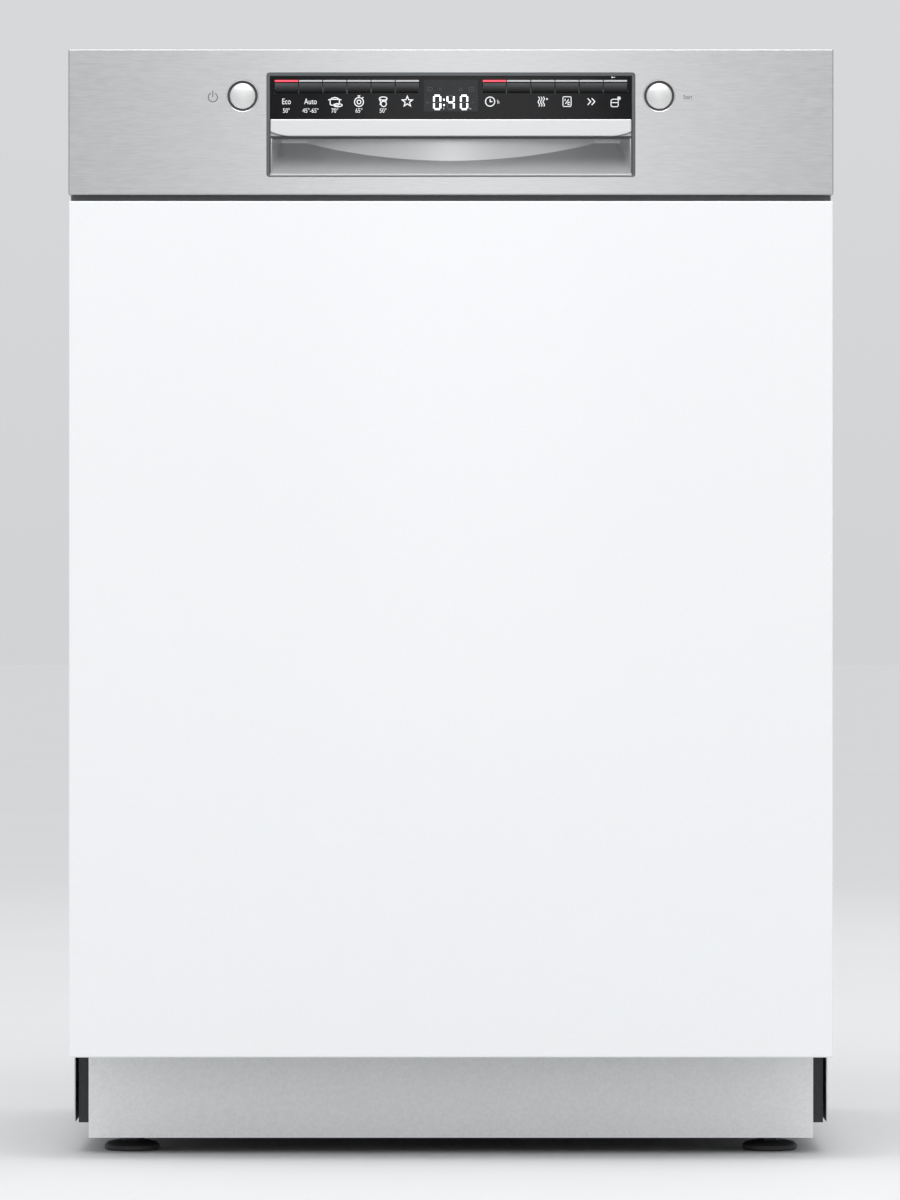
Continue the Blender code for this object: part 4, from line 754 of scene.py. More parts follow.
def display():
    """The glass, its lit figures and its unlit signs, in millimetres from the middle of its lower edge."""
    half, low, high = 0.0212, 0.8212, 0.8462
    glass = prism(round_rect(-half, low, half, high, 0.0006, 3), PANEL_FACE - 0.0001, PANEL_FACE + 0.001)
    piece("display_window", glass, "door", "display")
    rim = loop(round_rect(-21.4, -0.2, 21.4, 25.2, 0.8, 3))
    strokes("display_rim", [rim], 0.0005, PANEL_FACE - 0.00016, "black_gloss", at=(0, low))
    y = PANEL_FACE - 0.00018
    wide, tall, bottom = 5.0, 10.6, 1.9
    lit, unlit = [], []
    for digit, x in (("0", -10.7), ("4", -0.2), ("0", 10.3)):
        for segment, ends in SEGMENTS.items():
            line = [(x - wide / 2 + wide * u, bottom + tall * v) for u, v in ends]
            (lit if segment in DIGITS[digit] else unlit).append(line)
    for v in (0.3, 0.7):
        lit.append([(-6, bottom + tall * v), (-4.8, bottom + tall * v)])
    strokes("display_digits", lit, 0.0014, y, "lit", at=(0, low))
    strokes("display_segments_off", unlit, 0.0012, y, "unlit", at=(0, low))
    text("display_h", "h", -0.0055, low + 0.0024, 0.0022, y)
    text("display_m", "m", 0.0152, low + 0.0024, 0.0022, y)
    faint = []
    for x in (-16.5, 16):
        faint += [loop(round_rect(x - 1.8, 16, x + 1.8, 19, 0.5, 2)), [(x - 1, 17.5), (x + 1, 17.5)]]
    faint += rays(-8.3, 17.5, 1.4, 60)
    faint += [loop([(6.2, 16.4), (7.7, 18.6), (9.2, 16.4)]), arc(-18.4, 7.1, 0.8)]
    faint += [[(-17.6, 7.1), (-15.6, 7.1)], [(15.8, 7.1), (18, 7.1)]]
    strokes("display_signs_off", faint, 0.0005, y, "unlit", at=(0, low))


# ---- door ---------------------------------------------------------------------------------------
def gap_shade_strip():
    """Dark strip that closes the slot between the fascia and the board: painted shade standing in for the
    shadow in the slot.
    """
    board, panel = BOX["furniture_front"], BOX["control_fascia"]
    low = (board[0].x + 0.001, board[1].y - 0.007, board[1].z + 0.0002)
    high = (board[1].x - 0.001, board[1].y - 0.0002, panel[0].z + 0.0006)
    piece("fascia_gap_painted_shade", slab(low, high, 0.0006, 2), "door", "bezel")


DRAW = 0.008  # How deep the middle of the door's inner sheet is drawn.


def door_liner():
    low, high = BOX["door_liner"]
    face, edge, margin = high.y, 0.004, 0.04

    def ring(inset, y, radius):
        outline = round_rect(low.x + inset, low.z + inset, high.x - inset, high.z - inset, radius, 6)
        return [(x, y, z) for x, z in outline]

    rings = [ring(0.0, low.y, 0.01), ring(0.0, face - edge, 0.01)]
    for i in range(1, 5):
        a = radians(90 * i / 4)
        rings.append(ring(edge * (1 - cos(a)), face - edge + edge * sin(a), 0.01))
    rings.append(ring(margin - edge, face, 0.02))
    for i in range(1, 9):
        rings.append(ring(margin - edge + 0.016 * i / 8, face - DRAW * smooth(i / 8), 0.022))
    rings.append(ring(margin + 0.02, face - DRAW, 0.022))
    liner = loose("door_liner_pressing", loft(rings, (False, True)))
    thicken(liner, SHEET, Vector((0, face - 0.02, 0.5)))
    a, b = BOX["dispenser_body"]
    rim = 0.005
    cut(
        liner,
        slab((a.x + rim, face - 0.03, a.z + rim), (b.x - rim, face + 0.01, b.z - rim)),
        slab((-0.008, low.y - 0.01, high.z - 0.0125), (0.008, face + 0.01, high.z + 0.01), 0.001, 2),
    )
    settle(liner, "door", "stainless", ["door_liner"], 35)


def dispenser():
    """Detergent box with its slots and filler, and the border, the release and the plug on it."""
    low, high = BOX["dispenser_body"]
    field, rim, face, beyond = BOX["door_liner"][1].y - DRAW, 0.006, high.y, high.y + 0.01
    filler = (0.0425, face, 0.551)
    box = slab((low.x + rim, low.y, low.z + rim), (high.x - rim, field + 0.001, high.z - rim), 0.003, 2)
    case = loose("dispenser_case", box)
    add(case, slab((low.x, field + 0.0004, low.z), high, 0.0016, 3))
    tracks = [slab((-0.07, face - 0.0012, z), (0.064, beyond, z + 0.0016)) for z in (0.469, 0.5294)]
    pocket = slab((-0.064, low.y + 0.0035, 0.474), (-0.006, beyond, 0.526), 0.004, 3)
    cut(case, pocket, *tracks, rod(0.012, -0.02, 0.02, filler, "Y", 40))
    settle(case, "door", "white", ["dispenser_body"], 35)
    # A lathe's heights along Y point out of the door's front, away from the tub.
    plug = [(0, 0.019), (0.0118, 0.019), (0.0118, 0.0025), (0.0095, 0.0016), (0, 0.0016)]
    piece("rinse_aid_filler", lathe(plug, filler, "Y", 40), "door", "grey")
    dispenser_lid()
    button = [(0, -0.0016), (0.003, -0.0015), (0.0044, -0.001), (0.005, 0), (0, 0)]
    piece("dispenser_release", lathe(button, (-0.0765, face, 0.5), "Y", 32), "door", "grey")
    border = round_rect(-0.0815, 0.4585, 0.0815, 0.5715, 0.004, 4)
    tube("dispenser_border", [([(x, face, z) for x, z in border], True)], 0.0007, "door", "white")
    lid_face = BOX["dispenser_lid"][0].y + 0.00235
    arrow = [[(-56, 500), (-40, 500)], [(-44.5, 504), (-40, 500), (-44.5, 496)]]
    strokes("dispenser_lid_arrow", arrow, 0.0013, lid_face, "white", "detergent_lid")
    rinse_aid_flap()


def dispenser_lid():
    low, high = BOX["dispenser_lid"]
    parts = [slab(low, (high.x, low.y + 0.0024, high.z), 0.0009, 3)]
    for i in range(5):
        x = high.x - 0.006 - 0.003 * i
        parts.append(slab((x - 0.0007, low.y + 0.002, 0.482), (x + 0.0007, high.y, 0.518), 0.0005, 2))
    piece("dispenser_lid_ridged", merge(parts), "detergent_lid", "grey", ["dispenser_lid"])


def rinse_aid_flap():
    low, high = BOX["rinse_aid_cap"]
    middle = MID["rinse_aid_cap"]
    sign = [star(0, 0, 6.5, 2.8)]
    at, strap_top = (middle.x, middle.z - 0.003), high.z - 0.002
    strokes("rinse_aid_sign", sign, 0.0009, low.y + 0.00235, "white", "rinse_lid", at)
    parts = [
        slab(low, (high.x, low.y + 0.0024, high.z - 0.0052), 0.0008, 3),
        slab((low.x + 0.018, low.y + 0.0015, low.z), (high.x - 0.018, high.y, low.z + 0.0035), 0.0008, 2),
        rod(0.0021, -0.0225, 0.0225, (0.0425, middle.y, high.z - 0.0022), "X", 20),
        slab((low.x + 0.007, low.y + 0.0008, high.z - 0.0075), (high.x - 0.007, low.y + 0.002, strap_top)),
    ]
    piece("rinse_aid_flap", merge(parts), "rinse_lid", "grey", ["rinse_aid_cap"])


def door_seal():
    """Hollow rubber bead with a lip, round the top and both sides of the mouth."""
    low, high = BOX["door_seal"]

    def arch(inset, y, radius):
        x, top = high.x - inset, high.z - inset
        return fillet([(-x, y, low.z), (-x, y, top), (x, y, top), (x, y, low.z)], radius, 8)

    y = MID["door_seal"].y
    tube("door_seal_bead", [(arch(0.0074, y, 0.016), False)], 0.0026, "cabinet", "rubber", ["door_seal"], 4)
    tube("door_seal_lip", [(arch(0.0026, y + 0.001, 0.02), False)], 0.0017, "cabinet", "rubber")


# ---- tub and what is in it ----------------------------------------------------------------------
def shifted(outline, inset):
    """The closed outline moved inwards by inset along its own normals."""
    made = []
    for i, here in enumerate(outline):
        along = outline[(i + 1) % len(outline)] - outline[i - 1]
        made.append(here + Vector((-along.y, along.x)).normalized() * inset)
    return made


def tub():
    """A deep box with ledges for the wheels, round corners, a flanged mouth and beads in its walls."""
    low, high = BOX["tub"]
    front, back, bend = low.y, high.y - SHEET, 0.0028
    half, floor, top, ledge_half, ledge_top, height = 0.271, 0.13, 0.85, 0.248, 0.143, 0.49
    right = [(ledge_half, floor), (ledge_half, ledge_top), (half, ledge_top), (half, top)]
    corners = [(-ledge_half, floor), *right, *[(-x, z) for x, z in reversed(right[1:])]]
    outline = fillet(corners, [0.018 if z == top else 0.003 for x, z in corners], closed=True)

    # The flange runs from the outline out to the tub's own box.
    rings = [[]]
    for p in outline:
        d = p - Vector((0, height))
        to_side = (high.x - 0.0006) / abs(d.x) if abs(d.x) > 1e-9 else 9
        to_end = (high.z - height if d.y > 0 else height - low.z) / abs(d.y) if abs(d.y) > 1e-9 else 9
        scale = min(to_side, to_end)
        rings[0].append((d.x * scale, front, height + d.y * scale))
    steps = [(-0.003, front), (-0.0012, front + 0.0006), (0.0, front + 0.003)]
    steps += [(0.0, front + (back - front) * t) for t in (0.25, 0.5, 0.75)]
    for turn in even(0, 90, 5):
        a = radians(turn)
        steps.append((bend * (1 - cos(a)), back - bend + bend * sin(a)))
    rings += [[(q.x, y, q.y) for q in shifted(outline, inset)] for inset, y in steps]
    shell = loose("tub_shell", loft(rings, (False, True)))
    thicken(shell, SHEET, Vector((0, 0, height)), -1.0)
    cut(shell, rod(0.105, 0.1, 0.14, UPRIGHT["filter_plate"], steps=64))
    settle(shell, "cabinet", "stainless", ["tub"], 35)
    tub_beads(back)


def tub_beads(back):
    """Long flat beads that stand out from the tub's side walls and its back wall."""
    beads = []
    for side in (-1, 1):
        for z in (0.31, 0.42, 0.7, 0.77):
            beads.append(slab((side * 0.2697, -0.17, z - 0.011), (side * 0.2716, 0.2, z + 0.011), 0.0009, 3))
    for x in (-0.19, -0.095, 0.095, 0.19):
        beads.append(slab((x - 0.013, back - 0.0012, 0.24), (x + 0.013, back + 0.0004, 0.79), 0.0007, 3))
    piece("tub_beads", merge(beads), "cabinet", "stainless")


def filter_plate():
    """Dished plate under the lower arm, with the stub that the arm turns on."""
    base = BOX["filter_plate"][0].z
    dish = [(0, 0.0014), (0.045, 0.0014), (0.106, 0.003), (0.1105, 0.0026), (0.112, 0.0002)]
    dish = [(r, base + h) for r, h in [*dish, (0.112, 0), (0, 0)]]
    plate = loose("filter_plate_dished", lathe(dish, UPRIGHT["filter_plate"], steps=72))
    cut(plate, rod(0.0348, 0.12, 0.15, UPRIGHT["micro_filter"]))
    settle(plate, "cabinet", "sieve", ["filter_plate"], 35)
    stub = [(0, 0.1316), (0.023, 0.1316), (0.02, 0.136), (0.0185, 0.157), (0.008, 0.1572), (0.008, 0.173)]
    stub += [(0.0125, 0.1732), (0.013, 0.1745), (0.0115, 0.1778), (0, 0.1778)]
    piece("lower_arm_stub", lathe(stub, (0, MID["lower_spray_arm"].y, 0)), "cabinet", "grey")


def micro_filter():
    """Cup with a bar to turn it by, and a mesh round its wall."""
    cup = [(0, 0.1402), (0.023, 0.1402), (0.0285, 0.1398), (0.03, 0.1385), (0.0318, 0.1362), (0.0338, 0.1352)]
    cup += [(0.034, 0.1335), (0.0328, 0.1325), (0.0328, 0.109), (0.034, 0.1082), (0.03, 0.106)]
    cup += [(0.022, 0.1058), (0.022, 0.087), (0.02, 0.086), (0, 0.086)]
    x, y, top = MID["micro_filter"].x, MID["micro_filter"].y, BOX["micro_filter"][1].z
    grip = slab((x - 0.024, y - 0.003, 0.138), (x + 0.024, y + 0.003, top), 0.0022, 4)
    body = lathe(cup, UPRIGHT["micro_filter"], "Z", 56)
    piece("micro_filter_cup", merge([body, grip]), "filter", "grey", ["micro_filter"], 35)
    mesh = [(0.0331, 0.11), (0.0331, 0.132), (0.0326, 0.132), (0.0326, 0.11)]
    piece("micro_filter_mesh", lathe(mesh, UPRIGHT["micro_filter"], "Z", 56), "filter", "sieve")


def salt_cap():
    """Screw cap with a bar to turn it by, and a ribbed edge."""
    low, high = BOX["salt_cap"]
    x, y, skirt = MID["salt_cap"].x, MID["salt_cap"].y, low.z + 0.003
    cap = [(0, 0.1424), (0.02, 0.1424), (0.0285, 0.1416), (0.0306, 0.1398), (0.0306, skirt + 0.0005)]
    cap += [(0.0318, skirt), (0.032, low.z), (0, low.z)]
    parts = [lathe(cap, UPRIGHT["salt_cap"], "Z", 64)]
    parts.append(slab((x - 0.021, y - 0.0035, 0.141), (x + 0.021, y + 0.0035, high.z), 0.0022, 4))
    ribs = 24
    for i in range(ribs):
        ridge = slab((-0.001, 0.03, skirt), (0.001, 0.0316, 0.1392), 0.0005, 2)
        bmesh.ops.rotate(ridge, verts=ridge.verts, matrix=Matrix.Rotation(2 * pi * i / ribs, 3, "Z"))
        bmesh.ops.translate(ridge, verts=ridge.verts, vec=UPRIGHT["salt_cap"])
        parts.append(ridge)
    piece("salt_cap_ribbed", merge(parts), "salt_lid", "grey", ["salt_cap"], 35)


def spray_arm(name, body):
    """Moulded arm: two tapering blades, a hub with its bore, and a row of nozzles along each blade."""
    low, high = BOX[name]
    centre, axis = MID[name], UPRIGHT[name]
    reach, bottom, top = (high.x - low.x) / 2, low.z + 0.0004, high.z - 0.004
    root, tip, start, bore = 0.027, 0.0165, 0.018, 0.0087
    outline = []
    for side in (1, -1):
        blade = [(start + (reach - tip - start) * t, root + (tip - root) * t) for t in even(0, 1, 15)]
        turns = [radians(-90 + 18 * k) for k in range(1, 10)]
        outline += [(side * r, -side * half) for r, half in blade]
        outline += [(side * (reach - tip + tip * cos(a)), side * tip * sin(a)) for a in turns]
        outline += [(side * r, side * half) for r, half in reversed(blade)]
    arm = loose(name + "_blades", prism([(centre.x + x, centre.y + y) for x, y in outline], bottom, top, "Z"))
    soften(arm, 0.0042, 4)
    hub = [(bore, bottom - 0.0004), (0.0225, bottom - 0.0004), (0.0245, bottom + 0.002)]
    add(arm, lathe([*hub, (0.0245, top + 0.001), (0.0215, high.z), (bore, high.z)], axis, "Z", 56))
    cutters = [rod(bore, bottom - 0.02, top + 0.03, axis, "Z", 56)]
    jet = [(0, -0.002), (0.0018, -0.002), (0.0026, 0.004), (0, 0.004)]
    rim = [(0.0026, -0.0004), (0.0042, -0.0004), (0.0038, 0.0007), (0.0028, 0.0007)]
    rims = []
    for side in (-1, 1):
        for i in range(6):
            r, offset = 0.045 + (reach - 0.07) * i / 5, 0.006 if i % 2 else -0.006
            at = (centre.x + side * r, centre.y + side * offset, 0)
            cutters.append(lathe([(u, top + v) for u, v in jet], at, "Z", 16))
            rims.append(lathe([(u, top + v) for u, v in rim], at, "Z", 20))
    cut(arm, *cutters)
    settle(arm, body, "grey", [name], 35)
    piece(name + "_nozzles", merge(rims), body, "grey")


# ---- racks and basket ---------------------------------------------------------------------------
FRONT_RIM = {"lower_rack": 0.272, "upper_rack": 0.606}  # Heights of the racks' front rims.


def wire_basket(name, half, floor_z, back_rim, tines):
    """Coated-wire rack: a rim that steps up towards the back, and wires bent both ways between its sides."""
    body, front_rim = name + "_body", FRONT_RIM[name]
    front, back, thin, thick, draft = -0.189, 0.214, 0.0018, 0.0026, 0.004
    inner, step_start, step_length = half - draft, -0.11, 0.06

    def rim_at(y):
        return front_rim + (back_rim - front_rim) * smooth((y - step_start) / step_length)

    sides = even(front + 0.03, back - 0.03, 25)
    rim = [(-half, front, front_rim), (half, front, front_rim), *[(half, y, rim_at(y)) for y in sides]]
    rim += [(half, back, back_rim), (-half, back, back_rim)]
    rim += [(-half, y, rim_at(y)) for y in reversed(sides)]
    bent = fillet(rim, 0.022, 6, True)
    tube(name + "_rim", [(bent, True)], thick, body, "wire", [name], 5)

    paths = []
    for y in even(front + 0.03, back - 0.025, 13):
        top = rim_at(y)
        bent = [(-half, y, top), (-inner, y, floor_z), (inner, y, floor_z), (half, y, top)]
        paths.append((fillet(bent, 0.016), False))
    below = floor_z - 2 * thin + 0.0004
    for x in even(0.016 - inner, inner - 0.016, 15):
        sag = [(x, front + draft, below), (x, back - draft, below)]
        paths.append((fillet([(x, front, front_rim), *sag, (x, back, back_rim)], 0.014), False))
    for share in (0.36, 0.68):
        z, inset = floor_z + (front_rim - floor_z) * share, draft * (1 - share) + 0.0022
        x, f, b = half - inset, front + inset, back - inset
        paths.append((fillet([(-x, f, z), (x, f, z), (x, b, z), (-x, b, z)], 0.018, 6, True), True))
    tube(name + "_wires", paths, thin, body, "wire")
    tine_rows(name, floor_z, tines)


def tine_rows(name, floor_z, tines):
    """Bent tines with a wire along the foot of each row: x, lean, number, height, first y and last y."""
    rows = []
    for x, lean, count, height, start, end in tines:
        for y in even(start, end, count):
            base, knee = (x, y, floor_z + 0.0015), (x + lean * 0.3, y, floor_z + height * 0.6)
            rows.append((fillet([base, knee, (x + lean, y, floor_z + height)], 0.01, 3), False))
        rows.append(([(x, start - 0.004, floor_z + 0.0022), (x, end + 0.004, floor_z + 0.0022)], False))
    tube(name + "_tines", rows, 0.0016, name + "_body", "wire")


def lower_rack():
    """The lower rack and its six wheels on short arms."""
    tines = [(-0.061, 0.01, 12, 0.066, -0.15, 0.18), (-0.172, 0.01, 12, 0.066, -0.15, 0.18)]
    tines.append((0.052, -0.01, 10, 0.06, -0.11, 0.17))
    wire_basket("lower_rack", half=0.244, floor_z=0.192, back_rim=0.306, tines=tines)
    wheel_radius, track = 0.016, 0.2555
    axle = BOX["lower_rack"][0].z + wheel_radius
    flank = [(0.0022, -0.0046), (0.005, -0.0046), (0.0058, -0.003), (0.012, -0.0026), (0.0132, -0.0048)]
    flank += [(0.0156, -0.0042), (wheel_radius, -0.002)]
    wheel = flank + [(r, -h) for r, h in reversed(flank)]
    pin = [(0, -0.0085), (0.0022, -0.0085), (0.0022, 0.0052), (0.0032, 0.0054), (0.003, 0.0064), (0, 0.0064)]
    wheels, arms = [], []
    for side in (-1, 1):
        for y in (-0.1, 0.02, 0.14):
            at = (side * track, y, axle)
            wheels.append(lathe(wheel, at, "X", 40))
            arms.append(lathe([(r, side * h) for r, h in pin], at, "X", 24))
            start, end = (side * 0.2372, y - 0.0085, axle - 0.006), (side * 0.2496, y + 0.0085, 0.201)
            arms.append(slab(start, end, 0.0016, 2))
    piece("lower_rack_wheels", merge(wheels), "lower_rack_body", "grey", angle=40)
    piece("lower_rack_wheel_arms", merge(arms), "lower_rack_body", "grey", angle=40)


def upper_rack():
    """The upper rack, the feed to its spray arm, its brackets on the slides and a cup shelf on the left."""
    tines = [(-0.115, 0.012, 11, 0.052, -0.15, 0.18), (0.0, 0.0, 2, 0.004, -0.15, 0.18)]
    tines.append((0.115, -0.012, 11, 0.052, -0.15, 0.18))
    wire_basket("upper_rack", half=0.234, floor_z=0.502, back_rim=0.634, tines=tines)
    arm_y, rail_z = MID["upper_spray_arm"].y, MID["rail_slide_left"].z
    spout = [(0, 0.498), (0.02, 0.498), (0.0195, 0.48), (0.017, 0.4768), (0.008, 0.4765), (0.008, 0.4602)]
    spout += [(0.0128, 0.4598), (0.0128, 0.4575), (0.011, 0.4562), (0, 0.4562)]
    duct = slab((-0.014, arm_y - 0.01, 0.485), (0.014, 0.23, 0.4983), 0.0035, 3)
    feed = merge([duct, lathe(spout, (0, arm_y, 0))])
    piece("upper_rack_feed", feed, "upper_rack_body", "grey", angle=35)
    brackets = []
    for side in (-1, 1):
        for y in (-0.13, 0.165):
            start, end = (side * 0.2318, y - 0.03, rail_z - 0.011), (side * 0.2494, y + 0.03, rail_z + 0.011)
            brackets.append(slab(start, end, 0.0022, 3))
    piece("upper_rack_brackets", merge(brackets), "upper_rack_body", "grey", angle=35)
    shelf = []
    for y in even(-0.13, 0.158, 9):
        shelf.append((fillet([(-0.229, y, 0.576), (-0.15, y, 0.57), (-0.146, y, 0.564)], 0.006), False))
    for x, z in ((-0.229, 0.576), (-0.19, 0.5731), (-0.146, 0.564)):
        shelf.append(([(x, -0.132, z), (x, 0.16, z)], False))
    tube("upper_rack_cup_shelf", shelf, 0.0016, "upper_rack_body", "wire")


def rack_grips():
    for name, z in FRONT_RIM.items():
        grip = slab((-0.09, -0.1908, z - 0.019), (0.09, -0.1862, z + 0.0024), 0.002, 3)
        piece(name + "_grip", grip, name + "_body", "grey")


def cutlery():
    """Lattice basket: uprights between a base tray and two bands, a bow handle, and a grid across the top."""
    low, high = BOX["cutlery_basket"]
    body, top, wall, rib, bar = "lower_rack_body", 0.308, 0.002, 0.0011, 0.0008
    walls_x, walls_y = (low.x, high.x - wall), (low.y, high.y - wall)
    parts = [slab(low, (high.x, high.y, low.z + 0.016), 0.0014, 2)]
    for z0, z1 in ((top - 0.01, top), (0.25, 0.255)):
        parts += [slab((x, low.y, z0), (x + wall, high.y, z1), 0.0006, 2) for x in walls_x]
        parts += [slab((low.x, y, z0), (high.x, y + wall, z1), 0.0006, 2) for y in walls_y]
    foot, head = low.z + 0.01, top - 0.004
    for y in even(low.y + 0.001, high.y - 0.001, 19):
        parts += [slab((x, y - rib, foot), (x + wall, y + rib, head), 0.0005, 1) for x in walls_x]
    for x in even(low.x + 0.001, high.x - 0.001, 6):
        parts += [slab((x - rib, y, foot), (x + rib, y + wall, head), 0.0005, 1) for y in walls_y]
    piece("cutlery_basket_lattice", merge(parts), body, "grey", ["cutlery_basket"], 35)

    middle, front, back, crest = (low.x + high.x) / 2, low.y + 0.005, high.y - 0.005, high.z - 0.007
    bow = [(middle, front, foot), (middle, front, crest), (middle, back, crest), (middle, back, foot)]
    tube("cutlery_basket_handle", [(fillet(bow, 0.03, 8), False)], 0.004, body, "grey", (), 4)
    under, over, inset = top - 0.006, top - 0.003, 0.002
    grid = []
    for y in even(low.y, high.y, 10)[1:-1]:
        grid.append(slab((low.x + inset, y - bar, under), (high.x - inset, y + bar, over), 0.0004, 1))
    for x in (low.x + 0.018, middle, high.x - 0.018):
        grid.append(slab((x - bar, low.y + inset, under), (x + bar, high.y - inset, over), 0.0004, 1))
    piece("cutlery_basket_grid", merge(grid), body, "grey")


# ---- cabinet ------------------------------------------------------------------------------------
def feet():
    """A pad with its nut, and a thread whose ridges rise by one pitch each."""
    pad = [(0, 0), (0.0205, 0), (0.022, 0.0012), (0.022, 0.004), (0.0196, 0.0064), (0.013, 0.0078)]
    pitch, nut_radius = 0.00125, 0.0098
    bodies = {"foot_front_left": "foot_left", "foot_front_right": "foot_right", "foot_rear": "foot_back"}
    for name, body in bodies.items():
        top, x, y = BOX[name][1].z, MID[name].x, MID[name].y
        thread = [(0, 0.0062), (0.0046, 0.0062)]
        z = 0.017
        while z < top - 0.002:
            thread += [(0.0044, z), (0.005, z + 0.0005), (0.0044, z + 0.001)]
            z += pitch
        thread += [(0.004, top - 0.0004), (0.003, top), (0, top)]
        turns = [radians(60 * i) for i in range(6)]
        nut = prism([(x + nut_radius * cos(a), y + nut_radius * sin(a)) for a in turns], 0.0078, 0.0136, "Z")
        piece(name + "_pad", merge([lathe([*pad, (0, 0.008)], (x, y, 0)), nut]), body, "black", [name], 35)
        piece(name + "_thread", lathe(thread, (x, y, 0), "Z", 24), body, "galvanised", angle=20)


def top_mat():
    """Fleece mat over the tub: a soft-edged pad with a slightly uneven top."""
    low, high = BOX["top_insulation"]
    size, across, along = high - low, 54, 46
    rings = []
    for v in even(0, 1, along + 1):
        row = []
        for u in even(0, 1, across + 1):
            x, y = low.x + size.x * u, low.y + size.y * v
            lift = min(1.0, min(min(u, 1 - u) * size.x, min(v, 1 - v) * size.y) / 0.012)
            z = low.z + 0.007 + (size.z - 0.0082) * (1 - (1 - lift) ** 2)
            wave = 0.0006 * sin(x * 41 + 2 * sin(y * 17)) * cos(y * 37) + 0.0004 * (random.random() - 0.5)
            row.append((x, y, min(high.z, z + wave * lift)))
        rings.append(row + [(x, y, low.z) for x, y, z in reversed(row)])
    pad = loft(rings, (True, True))
    mat = piece("top_fleece", pad, "cabinet", "fleece", ["top_insulation"], 60)


NOTCH_Y, NOTCH_Z = -0.2, 0.118  # The side sheets' lower front corner is cut back to here.
BEADS = (0.26, 0.49, 0.72)  # Heights of the beads pressed into the side sheets.


def sunk(y, z):
    """How far a side sheet is pressed in at a point: three long beads with round ends."""
    reach = min(hypot(y - min(max(y, -0.162), 0.222), z - at) for at in BEADS)
    return 0.0026 * smooth((0.015 - reach) / 0.011)


def side_sheet(name, side, outer):
    """A side sheet as a grid of faces, with its edges turned in except at the foot and in the notch."""
    low, high = BOX[name]
    ys = [-0.2265, NOTCH_Y, *even(-0.186, -0.154, 9), -0.1, 0.0, 0.1, 0.19, *even(0.206, 0.242, 10), high.y]
    zs = [low.z, NOTCH_Z, high.z] + [z + 0.0025 * i for z in BEADS for i in range(-7, 8)]
    ys, zs = sorted(ys), sorted(zs)
    near = 1e-5
    bm = bmesh.new()
    grid = [[bm.verts.new((side * (outer - sunk(y, z)), y, z)) for y in ys] for z in zs]
    for j in range(len(zs) - 1):
        for i in range(len(ys) - 1):
            if ys[i + 1] > NOTCH_Y + near or zs[j + 1] > NOTCH_Z + near:
                bm.faces.new((grid[j][i], grid[j][i + 1], grid[j + 1][i + 1], grid[j + 1][i]))
    bmesh.ops.delete(bm, geom=[v for v in bm.verts if not v.link_faces], context="VERTS")
    rim = []
    for edge in [e for e in bm.edges if e.is_boundary]:
        at_foot = all(v.co.z < low.z + near for v in edge.verts)
        in_notch = all(v.co.y < NOTCH_Y + near and v.co.z < NOTCH_Z + near for v in edge.verts)
        if not (at_foot or in_notch):
            rim.append(edge)
    made = bmesh.ops.extrude_edge_only(bm, edges=rim)["geom"]
    turned = [v for v in made if isinstance(v, bmesh.types.BMVert)]
    bmesh.ops.translate(bm, verts=turned, vec=(-side * 0.0085, 0, 0))
    sheet = loose("sheet", bm)
    thicken(sheet, SHEET, Vector((0, 0, 0.45)))
    return sheet


def side_panels():
    """The two pressed side sheets, each with the horn, eye and pin of the door's hinge."""
    hinge_y, hinge_z, inner, eye_radius, pin_radius = -0.255, 0.122, 0.2915, 0.008, 0.004
    for name in ("side_panel_left", "side_panel_right"):
        low, high = BOX[name]
        side, outer = 1 if low.x > 0 else -1, max(abs(low.x), abs(high.x))
        sheet = side_sheet(name, side, outer)
        start, end = side * inner, side * (outer - 0.0002)
        half = abs(end - start) / 2
        horn = slab((start, hinge_y, hinge_z - 0.0035), (end, NOTCH_Y + 0.005, hinge_z + 0.008), 0.0008, 2)
        eye = rod(eye_radius, -half, half, ((start + end) / 2, hinge_y, hinge_z), "X", 32)
        pin = rod(pin_radius, -0.0039, 0.0039, (side * 0.2911, hinge_y, hinge_z), "X", 28)
        whole = merge([horn, eye, pin])
        whole.from_mesh(sheet.data)
        bpy.data.objects.remove(sheet, do_unlink=True)
        piece(name + "_pressed", whole, "cabinet", "galvanised", [name], 30)


def screw(x, y, z, up=(0, 0, 1), radius=0.0036):
    """A pan-head screw with a dimple, its head standing along up."""
    head = [(0, -0.0004), (radius, -0.0004), (radius, 0.0005), (radius * 0.8, 0.0013)]
    head += [(radius * 0.45, 0.0016), (radius * 0.3, 0.001), (0, 0.0008)]
    made = lathe(head, steps=20)
    turn = Vector(up).to_track_quat("Z", "Y").to_matrix().to_4x4()
    bmesh.ops.transform(made, matrix=Matrix.Translation((x, y, z)) @ turn, verts=made.verts)
    return made


def rear_pressing():
    """Two frames with a line across each, pressed into the back."""
    back = BOX["rear_panel"][1].y
    frames = []
    for bottom, top, line in ((0.47, 0.8, 0.635), (0.15, 0.44, 0.295)):
        corners = [(-0.235, back, bottom), (0.235, back, bottom), (0.235, back, top), (-0.235, back, top)]
        frames.append((fillet(corners, 0.045, 8, True), True))
        frames.append(([(-0.16, back, line), (0.16, back, line)], False))
    tube("rear_panel_pressing", frames, 0.0019, "cabinet", "galvanised", (), 4)


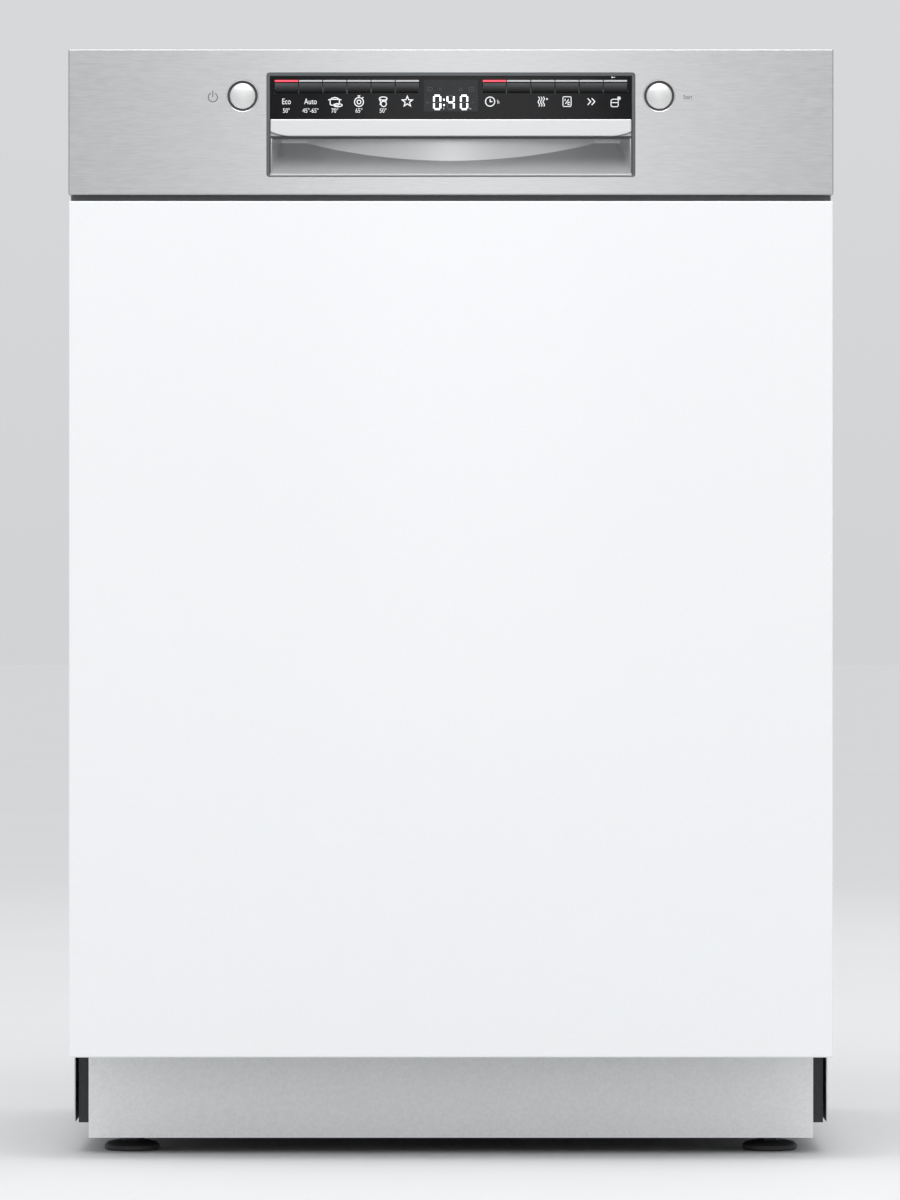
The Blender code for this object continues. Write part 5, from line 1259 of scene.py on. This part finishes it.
def screws():
    """Eight screws on the back and two on the crossbar."""
    low, high = BOX["rear_panel"]
    heads = []
    for z in (low.z + 0.014, 0.34, 0.58, high.z - 0.014):
        heads += [screw(x, high.y, z, (0, 1, 0)) for x in (low.x + 0.01, high.x - 0.01)]
    seat = BOX["front_crossbar"][1].z - 0.0017
    heads += [screw(x, -0.205, seat, radius=0.0032) for x in (-0.27, 0.27)]
    piece("panel_screws", merge(heads), "cabinet", "spring")


def tub_vent():
    """Round cap with upright slots on the tub's left wall."""
    y, z, pitch, slot_radius = -0.13, 0.435, 0.0048, 0.0165
    cap = [(0, 0.004), (0.018, 0.004), (0.019, 0.0048), (0.026, 0.0046), (0.03, 0.003), (0.031, 0), (0, 0)]
    vent = [lathe(cap, (-0.2708, y, z), "X")]
    for i in range(-3, 4):
        at, reach = y + pitch * i, sqrt(slot_radius**2 - (pitch * i) ** 2)
        vent.append(slab((-0.2672, at - 0.0012, z - reach), (-0.2658, at + 0.0012, z + reach), 0.0004, 2))
    piece("tub_vent", merge(vent), "cabinet", "grey")


# ---- CAD nodes that stay ------------------------------------------------------------------------
def repaint():
    kept = {
        "lacquer": ["furniture_front"],
        "galvanised": [
            "door_outer_panel", "rear_panel", "front_crossbar", "hinge_arm_left", "hinge_arm_right",
        ],
        "stainless": ["rail_left", "rail_right", "rail_slide_left", "rail_slide_right"],
        "black": ["base_tray", "sump", "door_latch"],
        "pale": ["toe_panel"],
        "grey": ["circulation_pump", "ceiling_sprayer"],
        "white": ["drain_pump", "inlet_valve", "water_riser"],
        "spring": ["door_spring_left", "door_spring_right"],
    }
    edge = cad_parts["furniture_front"].modifiers.new("Edges", "BEVEL")
    edge.width, edge.segments, edge.limit_method = 0.0009, 3, "ANGLE"
    for material, names in kept.items():
        for name in names:
            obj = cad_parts[name]
            obj.data.materials.clear()
            obj.data.materials.append(M[material])


make_materials()
make_view()
fascia()
bezel()
key_panel()
handle_bar()
grip_cup()
grip_trim()
round_buttons()
program_signs()
option_signs()
steel_signs()
display()
gap_shade_strip()
door_liner()
dispenser()
door_seal()
tub()
filter_plate()
micro_filter()
salt_cap()
spray_arm("lower_spray_arm", "lower_arm")
spray_arm("upper_spray_arm", "upper_arm")
lower_rack()
upper_rack()
rack_grips()
cutlery()
feet()
top_mat()
side_panels()
rear_pressing()
screws()
tub_vent()
repaint()
